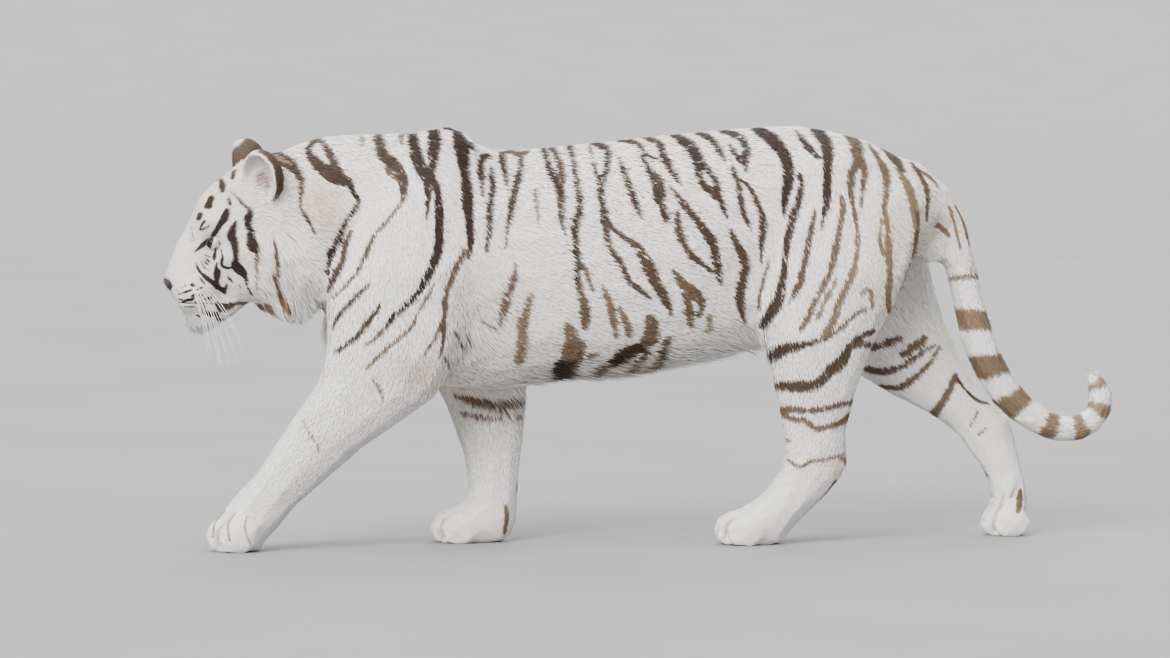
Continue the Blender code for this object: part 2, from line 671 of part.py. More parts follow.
def part_off(body, name, make_cutter):
    """Cut a named piece off the body; make_cutter(extra) gives its cutter grown by extra."""
    piece = copy_object(body, name)
    inner = make_cutter(0.0)
    boolean(piece, inner, "INTERSECT")
    remove(inner)
    outer = make_cutter(GAP)
    boolean(body, outer, "DIFFERENCE")
    remove(outer)
    biggest_island(piece)
    biggest_island(body)
    return piece


def plane_cutter(point, direction, reach, depth, low_y, high_y):
    """Maker of a box that starts at a plane and runs on in its direction."""
    frame = slab_frame((point[0], 0, point[1]), (direction[0], 0, direction[1]))

    def make(extra):
        return box("cutter", (-extra, low_y - extra, -reach - extra),
                   (depth, high_y + extra, reach + extra), frame)
    return make


def tongue_cutter(upper, upper_radius, lower, lower_radius, side, inner_y):
    """Maker of a tongue-shaped prism: round at both ends, from the inner plane outwards."""
    def make(extra):
        outline = []
        down = math.atan2(lower[1] - upper[1], lower[0] - upper[0])
        for centre, radius, turn in ((upper, upper_radius, math.pi), (lower, lower_radius, 0.0)):
            for step in range(ARC_STEPS + 1):
                angle = down + turn - math.pi / 2 + math.pi * step / ARC_STEPS
                outline.append((centre[0] + (radius + extra) * math.cos(angle),
                                centre[1] + (radius + extra) * math.sin(angle)))
        count = len(outline)
        points = [(x, side * (inner_y - extra), z) for x, z in outline]
        points += [(x, side * 0.400, z) for x, z in outline]
        faces = [(i, (i + 1) % count, count + (i + 1) % count, count + i) for i in range(count)]
        faces += [tuple(reversed(range(count))), tuple(range(count, 2 * count))]
        return mesh_object("cutter", points, faces)
    return make


def ellipsoid_cutter(centre, radii):
    """Maker of an ellipsoid."""
    def make(extra):
        grown = tuple(radius + extra for radius in radii)
        return ellipsoid("cutter", centre, grown, segments=12, rings=7)
    return make


def box_cutter(low, high, growing_way, frame):
    """Maker of a box whose face looking along growing_way moves out by the extra."""
    def make(extra):
        move = [way * extra for way in growing_way]
        moved_low = tuple(value + min(step, 0) for value, step in zip(low, move))
        moved_high = tuple(value + max(step, 0) for value, step in zip(high, move))
        return box("cutter", moved_low, moved_high, frame)
    return make


def mouth_frame(frame):
    """A frame at the corner of the mouth whose +X runs along the mouth and +Z up from it."""
    (corner_s, corner_t), (front_s, front_t) = MOUTH_LINE
    slope = math.atan2(front_t - corner_t, front_s - corner_s)
    return frame @ Matrix.Translation((corner_s, 0, corner_t)) @ Matrix.Rotation(-slope, 4, "Y")


def surface_place(body, start, direction):
    """Where a ray from inside the body leaves it."""
    tree = BVHTree.FromObject(body, bpy.context.evaluated_depsgraph_get())
    place = start
    for _ in range(8):
        hit, normal, _, _ = tree.ray_cast(place, direction)
        if hit is None:
            break
        place = hit + direction * 0.0001
        if normal.dot(direction) > 0:
            return hit
    return start


def inset_solid(body, solid):
    """Cut a solid's bed, with its gap, out of the body."""
    bed = copy_object(solid, "bed")
    grow(bed, GAP)
    boolean(body, bed, "DIFFERENCE")
    remove(bed)
    biggest_island(body)


def make_eye(name, body, frame, side):
    """An eyeball set into the head."""
    centre = frame @ Vector((EYE_PLACE[0], side * EYE_PLACE[1], EYE_PLACE[2]))
    eye = ellipsoid(name, centre, (EYE_RADIUS,) * 3, segments=12, rings=6)
    inset_solid(body, eye)
    return eye


def make_nose(body, frame):
    """The nose leather, a rounded wedge on the tip of the muzzle."""
    ahead = frame.to_3x3() @ Vector((1, 0, 0))
    hit = surface_place(body, frame @ Vector((0.20, 0, NOSE_PLACE[2])), ahead)
    centre = frame.inverted() @ (hit - ahead * (NOSE_RADII[0] - NOSE_STANDOUT))
    nose = ellipsoid("nose", centre, NOSE_RADII, (0, 18, 0), frame, 12, 6)
    inset_solid(body, nose)
    return nose


def make_ear(name, body, frame, side):
    """A cupped ear: an ellipsoid hollowed from its open side, cut to fit the head."""
    lean, back, turn = EAR_TURN
    angles = Euler([math.radians(side * lean), math.radians(back), math.radians(side * turn)])
    ahead, across, up = EAR_PLACE[name.removeprefix("ear_")]
    local = frame @ Matrix.Translation((ahead, side * across, up))
    local = local @ angles.to_matrix().to_4x4()
    ear = ellipsoid(name, (0, 0, 0), EAR_RADII, frame=local, segments=16, rings=8)
    depth, half_width, half_height = EAR_RADII
    hollow_radii = (depth, half_width - EAR_WALL, half_height - EAR_WALL)
    hollow = ellipsoid("hollow", (EAR_HOLLOW, 0, 0.004), hollow_radii, frame=local,
                       segments=12, rings=7)
    boolean(ear, hollow, "DIFFERENCE")
    remove(hollow)
    front = box("front", (depth * 0.35, -0.2, -0.2), (0.2, 0.2, 0.2), local)
    boolean(ear, front, "DIFFERENCE")
    remove(front)
    head = copy_object(body, "head_bed")
    grow(head, 3 * GAP)
    boolean(ear, head, "DIFFERENCE")
    remove(head)
    biggest_island(ear)
    return ear


def claw_ring(centre, upward, size):
    """Points of a claw's section, a little higher than wide."""
    points = []
    for index in range(CLAW_SIDES):
        turn = 2 * math.pi * index / CLAW_SIDES
        sideways = Vector((0, size * 0.8 * math.cos(turn), 0))
        points.append(centre + sideways + upward * (size * 1.1 * math.sin(turn)))
    return points


def make_claws(paw_name, body):
    """Four hooked claws that just clear the fur of the toes."""
    toe_x, _, y, toe_height, _ = PAWS[paw_name]
    bend = CLAW_LENGTH / CLAW_HOOK
    claws = []
    for index, (across, setback) in enumerate(toe_places()):
        inside = Vector((toe_x + setback + 0.040, y + across, toe_height * 0.34))
        hit = surface_place(body, inside, Vector((-1, 0, 0)))
        root = hit + Vector((CLAW_LENGTH * CLAW_BURIED, 0, 0.004))
        rings = []
        for step in range(CLAW_RINGS):
            along = step / (CLAW_RINGS - 1)
            angle = CLAW_HOOK * along
            centre = root - Vector((bend * math.sin(angle), 0, bend * (1 - math.cos(angle)) * 0.8))
            upward = Vector((-math.sin(angle), 0, math.cos(angle)))
            size = CLAW_THICKNESS * (1 - CLAW_TAPER * along)
            rings.append(claw_ring(centre, upward, size))
        claw = loft(f"claw_{paw_name}_{index + 1}", rings)
        inset_solid(body, claw)
        claws.append(claw)
    return claws


def coat_of(name):
    """Colour and roughness of a node's outside."""
    if name.startswith("claw"):
        return CLAW_HORN, 0.45
    if name.startswith("eye"):
        return EYE_BLUE, 0.08
    if name == "nose":
        return NOSE_PINK, 0.42
    if name.startswith("ear"):
        return EAR_COAT, 0.90
    if name.startswith("tail"):
        return TAIL_COAT, 0.90
    if name in ("neck", "belly"):
        return CREAM_COAT, 0.90
    return WHITE_COAT, 0.90


def settle(thing):
    """Move an object's origin to the middle of its box, and give it its own material."""
    corners = [Vector(corner) for corner in thing.bound_box]
    middle = (corners[0] + corners[6]) / 2
    for vertex in thing.data.vertices:
        vertex.co -= middle
    thing.location = middle
    colour, roughness = coat_of(thing.name)
    thing.data.materials.clear()
    thing.data.materials.append(material(thing.name + "_surface", colour, roughness))
    thing.data.shade_smooth()
    thing.data.set_sharp_from_angle(angle=math.radians(50))


def main():
    """Build every node."""
    for thing in list(bpy.data.objects):
        bpy.data.objects.remove(thing)
    frame = head_frame()
    body = make_body(frame)
    nodes = {}
    for word, side in HEAD_SIDES:
        nodes["ear_" + word] = make_ear("ear_" + word, body, frame, side)
    for word, side in HEAD_SIDES:
        nodes["eye_" + word] = make_eye("eye_" + word, body, frame, side)
    nodes["nose"] = make_nose(body, frame)
    for paw_name in PAWS:
        for claw in make_claws(paw_name, body):
            nodes[claw.name] = claw
    for name, point, direction, reach in reversed(TAIL_CUTS):
        cutter = plane_cutter(point, direction, reach, 0.30, -0.10, 0.045)
        nodes[name] = part_off(body, name, cutter)
    for name, side, point, direction, reach, inner_y in LEG_CUTS:
        low_y, high_y = (inner_y, 0.30) if side > 0 else (-0.30, -inner_y)
        cutter = plane_cutter(point, direction, reach, 0.50, low_y, high_y)
        nodes[name] = part_off(body, name, cutter)
    for name, side, upper, upper_radius, lower, lower_radius, inner_y in LEG_ROOTS:
        cutter = tongue_cutter(upper, upper_radius, lower, lower_radius, side, inner_y)
        nodes[name] = part_off(body, name, cutter)
    nodes["scrotum"] = part_off(body, "scrotum",
                                ellipsoid_cutter((0.716, 0, 0.700), (0.046, 0.052, 0.052)))
    head = part_off(body, "head", plane_cutter(*HEAD_CUT, 0.5, 0.6, -0.4, 0.4))
    muzzle = part_off(head, "muzzle", box_cutter(
        (MUZZLE_START, -0.3, -0.3), (0.6, 0.3, 0.3), (-1, 0, 0), frame))
    nodes["lower_jaw"] = part_off(muzzle, "lower_jaw", box_cutter(
        (-0.3, -0.3, -0.3), (0.4, 0.3, 0.0), (0, 0, 1), mouth_frame(frame)))
    nodes["head"] = head
    nodes["muzzle"] = muzzle
    nodes["neck"] = part_off(body, "neck", plane_cutter(*NECK_CUT, 0.6, 0.6, -0.4, 0.4))
    nodes["chest"] = part_off(body, "chest", plane_cutter(*CHEST_CUT, 0.8, 0.8, -0.4, 0.4))
    nodes["belly"] = part_off(body, "belly", plane_cutter(*BELLY_CUT, 0.8, 0.8, -0.4, 0.4))
    body.name = "rump"
    nodes["rump"] = body
    for thing in nodes.values():
        settle(thing)
    return nodes


if __name__ == "__main__":
    main()
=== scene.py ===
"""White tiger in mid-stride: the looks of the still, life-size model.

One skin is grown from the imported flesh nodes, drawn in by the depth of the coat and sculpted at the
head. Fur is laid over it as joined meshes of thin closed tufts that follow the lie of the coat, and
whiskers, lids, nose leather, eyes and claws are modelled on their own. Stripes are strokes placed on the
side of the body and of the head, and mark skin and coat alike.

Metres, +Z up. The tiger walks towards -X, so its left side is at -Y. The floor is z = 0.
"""

import math

import bmesh
import bpy
import numpy as np
from mathutils import Euler, Matrix, Vector
from mathutils.bvhtree import BVHTree


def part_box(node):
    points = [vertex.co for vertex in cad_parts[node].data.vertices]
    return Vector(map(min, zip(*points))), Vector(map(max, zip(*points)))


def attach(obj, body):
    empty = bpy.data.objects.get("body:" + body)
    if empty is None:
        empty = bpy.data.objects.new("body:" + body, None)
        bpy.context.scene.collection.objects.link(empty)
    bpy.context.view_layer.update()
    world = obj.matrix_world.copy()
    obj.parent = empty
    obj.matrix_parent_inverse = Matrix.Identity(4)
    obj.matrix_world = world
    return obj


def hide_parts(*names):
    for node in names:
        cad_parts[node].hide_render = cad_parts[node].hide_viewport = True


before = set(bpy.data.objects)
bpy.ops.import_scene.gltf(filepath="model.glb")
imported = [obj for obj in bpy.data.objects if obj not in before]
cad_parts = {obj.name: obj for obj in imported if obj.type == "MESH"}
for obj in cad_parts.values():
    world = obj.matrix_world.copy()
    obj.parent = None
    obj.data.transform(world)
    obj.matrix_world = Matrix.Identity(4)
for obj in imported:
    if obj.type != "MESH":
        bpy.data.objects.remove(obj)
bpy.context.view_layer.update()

MM = 0.001
rng = np.random.default_rng(20)

# ---------------------------------------------------------------- sizes

SHELL_GRAIN = 0.00476         # voxel of the shell that the skin is grown from
SHELL_SWELL = 0.0010          # closes the cuts between the flesh nodes
SKIN_TRIANGLES = 84000        # of the skin, before toes, head and face are refined
INSET = 0.85                  # share of the coat's depth at which the skin lies
SMOOTH_ROUNDS = 24
BLEND_ROUNDS = 78             # how far one part's coat runs into the next one's
HEAD_BLEND_ROUNDS = 22        # how far the head's coat runs into the neck's
TUFTS = 236000
PIECE_TUFTS = 32500           # most tufts of one coat piece, below 200,000 triangles
LONG_HAIR = 0.036             # longer tufts get one more ring
PATCH = 0.003                 # size of a tuft's patch on the baking map

# Head frame: s forward along the skull, y to the animal's left, t up.
HEAD_ORIGIN = (-0.860, 0.0, 0.760)
HEAD_PITCH = math.radians(36.87)
HEAD_YAW = math.radians(5.0)
HEAD_ROLL = math.radians(3.0)
EYE_RADIUS = 0.0165
EYE_FACING = (0.76, 0.61, 0.22)
EYE_SLANT = math.radians(24)           # rise of the lid's slit towards its outer corner
LID_HALF_WIDTH = 0.0132
LID_UP = 0.0034
LID_DOWN = 0.0028
LID_REACH = 0.0245                     # radius at which the lids meet the skin
LID_OVER = (-0.0008, 0.0007, 0.0018)   # height over the ball of the slit's rings; the last holds on
LID_GROWTH = (1.0, 1.0, 1.10)          # size of the same rings in slits
LID_FOLD = 0.0016                      # depth of the crease above and below the eye
LID_SINK = 0.0012                      # how far the outer edge dips under the skin
LID_COVER = 0.0022                     # least height of the outer rings over the ball
LID_SWELL = 0.0035                     # swelling that hides the ball's side
LID_RINGS = 15
LID_STEPS = 56
RIM_RINGS = 5                          # of the lids' rings, how many are bare and dark

# Tail's middle line, root to tip.
TAIL_LINE = [(0.630, 0.0, 0.872), (0.706, 0.0, 0.828), (0.756, 0.0, 0.764), (0.781, -0.004, 0.690),
             (0.795, -0.010, 0.630), (0.806, -0.016, 0.575), (0.820, -0.022, 0.512),
             (0.844, -0.025, 0.443), (0.879, -0.026, 0.378), (0.914, -0.026, 0.334),
             (0.962, -0.026, 0.296), (1.022, -0.025, 0.266), (1.082, -0.025, 0.266),
             (1.124, -0.023, 0.296), (1.138, -0.021, 0.334), (1.131, -0.019, 0.366),
             (1.117, -0.017, 0.380)]
TAIL_LENGTH = 0.866

# Camera: where it stands and what it looks at.
CAMERA_AZIMUTH = math.radians(-9.0)
CAMERA_HEIGHT = math.radians(3.0)
CAMERA_AWAY = 15.0
CAMERA_TARGET = (-0.131, 0.0, 0.5155)
CAMERA_LENS = 192.3
CAMERA_SENSOR = 36.0
CAMERA_SIGHT = 300.0                   # beyond the far rim of the floor

# ---------------------------------------------------------------- lie of the coat

# node: flow (x, outwards, z), then length, depth and width of the tufts in millimetres. The tail's
# flow follows its own line, and the head's is in HEAD_COAT.
COAT = {
    "neck": ((0.85, 0.05, -0.50), 24, 6, 3.2),
    "chest": ((0.90, 0.0, -0.42), 21, 5, 3.1),
    "belly": ((0.93, 0.0, -0.34), 21, 5, 3.1),
    "rump": ((0.88, 0.0, -0.45), 21, 5, 3.1),
    "scrotum": ((0.2, 0.0, -1.0), 12, 5, 2.6),
    "upper_arm_left": ((0.16, 0.0, -1.0), 20, 4.8, 3.1),
    "upper_arm_right": ((0.22, 0.0, -1.0), 20, 4.8, 3.1),
    "forearm_left": ((-0.55, 0.0, -0.83), 15, 3.8, 2.8),
    "forearm_right": ((0.10, 0.0, -1.0), 15, 3.8, 2.8),
    "forepaw_left": ((-0.85, 0.0, -0.55), 8, 2.2, 2.1),
    "forepaw_right": ((-0.80, 0.0, -0.60), 8, 2.2, 2.1),
    "thigh_left": ((0.30, 0.0, -0.95), 20, 4.8, 3.1),
    "thigh_right": ((0.42, 0.0, -0.90), 20, 4.8, 3.1),
    "shank_left": ((0.10, 0.0, -1.0), 16, 4.2, 2.8),
    "shank_right": ((0.72, 0.0, -0.70), 16, 4.2, 2.8),
    "metatarsus_left": ((-0.66, 0.0, -0.75), 11, 3.0, 2.4),
    "metatarsus_right": ((0.25, 0.0, -0.97), 11, 3.0, 2.4),
    "hindpaw_left": ((-0.90, 0.0, -0.45), 8, 2.2, 2.1),
    "hindpaw_right": ((-0.60, 0.0, -0.80), 8, 2.2, 2.1),
    "tail_root": (None, 20, 5, 3.0),
    "tail_upper": (None, 20, 6, 2.6),
    "tail_middle": (None, 22, 7, 2.6),
    "tail_tip": (None, 18, 6, 2.4),
    "head": (None, 12, 5, 2.4),
    "muzzle": (None, 7, 3, 1.8),
    "lower_jaw": (None, 20, 9, 2.4),
}
# Head: place (s, y, t), flow (s, outwards, t), length, depth, width in millimetres.
HEAD_COAT = [
    ((0.300, 0.000, 0.080), (-0.70, 0.20, 0.65), 3.0, 1.4, 1.3),
    ((0.270, 0.000, 0.105), (-0.95, 0.05, 0.35), 4.5, 1.8, 1.4),
    ((0.215, 0.000, 0.128), (-1.00, 0.05, 0.30), 7.0, 2.6, 1.6),
    ((0.160, 0.000, 0.158), (-1.00, 0.10, 0.20), 9.0, 3.3, 1.8),
    ((0.090, 0.000, 0.188), (-1.00, 0.10, 0.05), 13.0, 5.0, 2.1),
    ((0.000, 0.000, 0.192), (-1.00, 0.05, -0.10), 16.0, 6.5, 2.5),
    ((-0.080, 0.000, 0.170), (-1.00, 0.05, -0.25), 20.0, 8.0, 2.9),
    ((0.285, 0.035, 0.030), (-0.85, 0.45, -0.15), 4.0, 1.8, 1.4),
    ((0.250, 0.055, 0.010), (-0.80, 0.35, -0.45), 7.0, 2.6, 1.6),
    ((0.225, 0.060, 0.060), (-0.95, 0.25, 0.05), 6.0, 2.2, 1.5),
    ((0.190, 0.060, 0.085), (-0.95, 0.25, 0.20), 4.0, 1.5, 1.3),
    ((0.165, 0.075, 0.055), (-0.85, 0.30, -0.40), 5.0, 1.9, 1.4),
    ((0.130, 0.085, 0.105), (-0.95, 0.20, 0.20), 8.0, 3.0, 1.7),
    ((0.150, 0.060, 0.130), (-0.95, 0.15, 0.35), 8.0, 3.0, 1.7),
    ((0.090, 0.105, 0.110), (-1.00, 0.15, 0.00), 11.0, 4.2, 2.0),
    ((0.180, 0.070, -0.010), (-0.75, 0.30, -0.60), 10.0, 3.8, 1.8),
    ((0.120, 0.105, 0.030), (-0.15, 0.30, -0.95), 18.0, 5.5, 2.1),
    ((0.060, 0.130, 0.030), (0.22, 0.25, -0.95), 34.0, 9.0, 2.6),
    ((0.100, 0.110, -0.050), (0.30, 0.20, -0.95), 38.0, 12.0, 2.6),
    ((0.020, 0.140, -0.060), (0.36, 0.20, -0.92), 52.0, 16.0, 2.9),
    ((0.090, 0.080, -0.130), (0.45, 0.10, -0.90), 44.0, 17.0, 2.8),
    ((0.020, 0.100, -0.140), (0.42, 0.10, -0.91), 52.0, 18.0, 3.0),
    ((-0.040, 0.120, 0.060), (-0.25, 0.20, -0.95), 26.0, 8.0, 2.8),
    ((0.160, 0.030, -0.100), (0.30, 0.00, -0.90), 22.0, 9.0, 2.6),
    ((0.220, 0.045, -0.060), (0.10, 0.15, -0.95), 14.0, 5.5, 2.1),
    ((0.300, 0.000, -0.030), (0.30, 0.10, -0.95), 13.0, 6.0, 1.8),
    ((0.295, 0.000, -0.075), (0.50, 0.05, -0.85), 30.0, 13.0, 2.2),
    ((0.240, 0.020, -0.090), (0.40, 0.05, -0.90), 26.0, 11.0, 2.3),
    ((0.305, 0.020, 0.020), (-0.60, 0.60, -0.50), 3.5, 1.6, 1.3),
]
# Longer hair: x, |y|, z, reach, then millimetres added to length and depth.
LONGER = [
    (-0.200, 0.00, 0.385, 0.11, 34, 13), (-0.080, 0.00, 0.385, 0.11, 38, 15),
    (0.040, 0.00, 0.395, 0.11, 38, 15), (0.150, 0.00, 0.420, 0.11, 34, 13),
    (0.240, 0.08, 0.470, 0.08, 24, 9), (-0.330, 0.00, 0.370, 0.09, 22, 8),
    (-0.430, 0.15, 0.500, 0.06, 20, 8), (-0.400, 0.17, 0.560, 0.06, 12, 4),
    (-0.520, 0.13, 0.400, 0.05, 14, 5), (-0.700, 0.00, 0.470, 0.09, 22, 9),
    (-0.800, 0.00, 0.560, 0.09, 26, 10), (0.590, 0.06, 0.640, 0.08, 14, 5),
    (0.640, 0.05, 0.560, 0.07, 12, 4), (1.130, 0.02, 0.385, 0.05, 8, 2),
    (-0.860, 0.15, 0.680, 0.06, 14, 5),
]
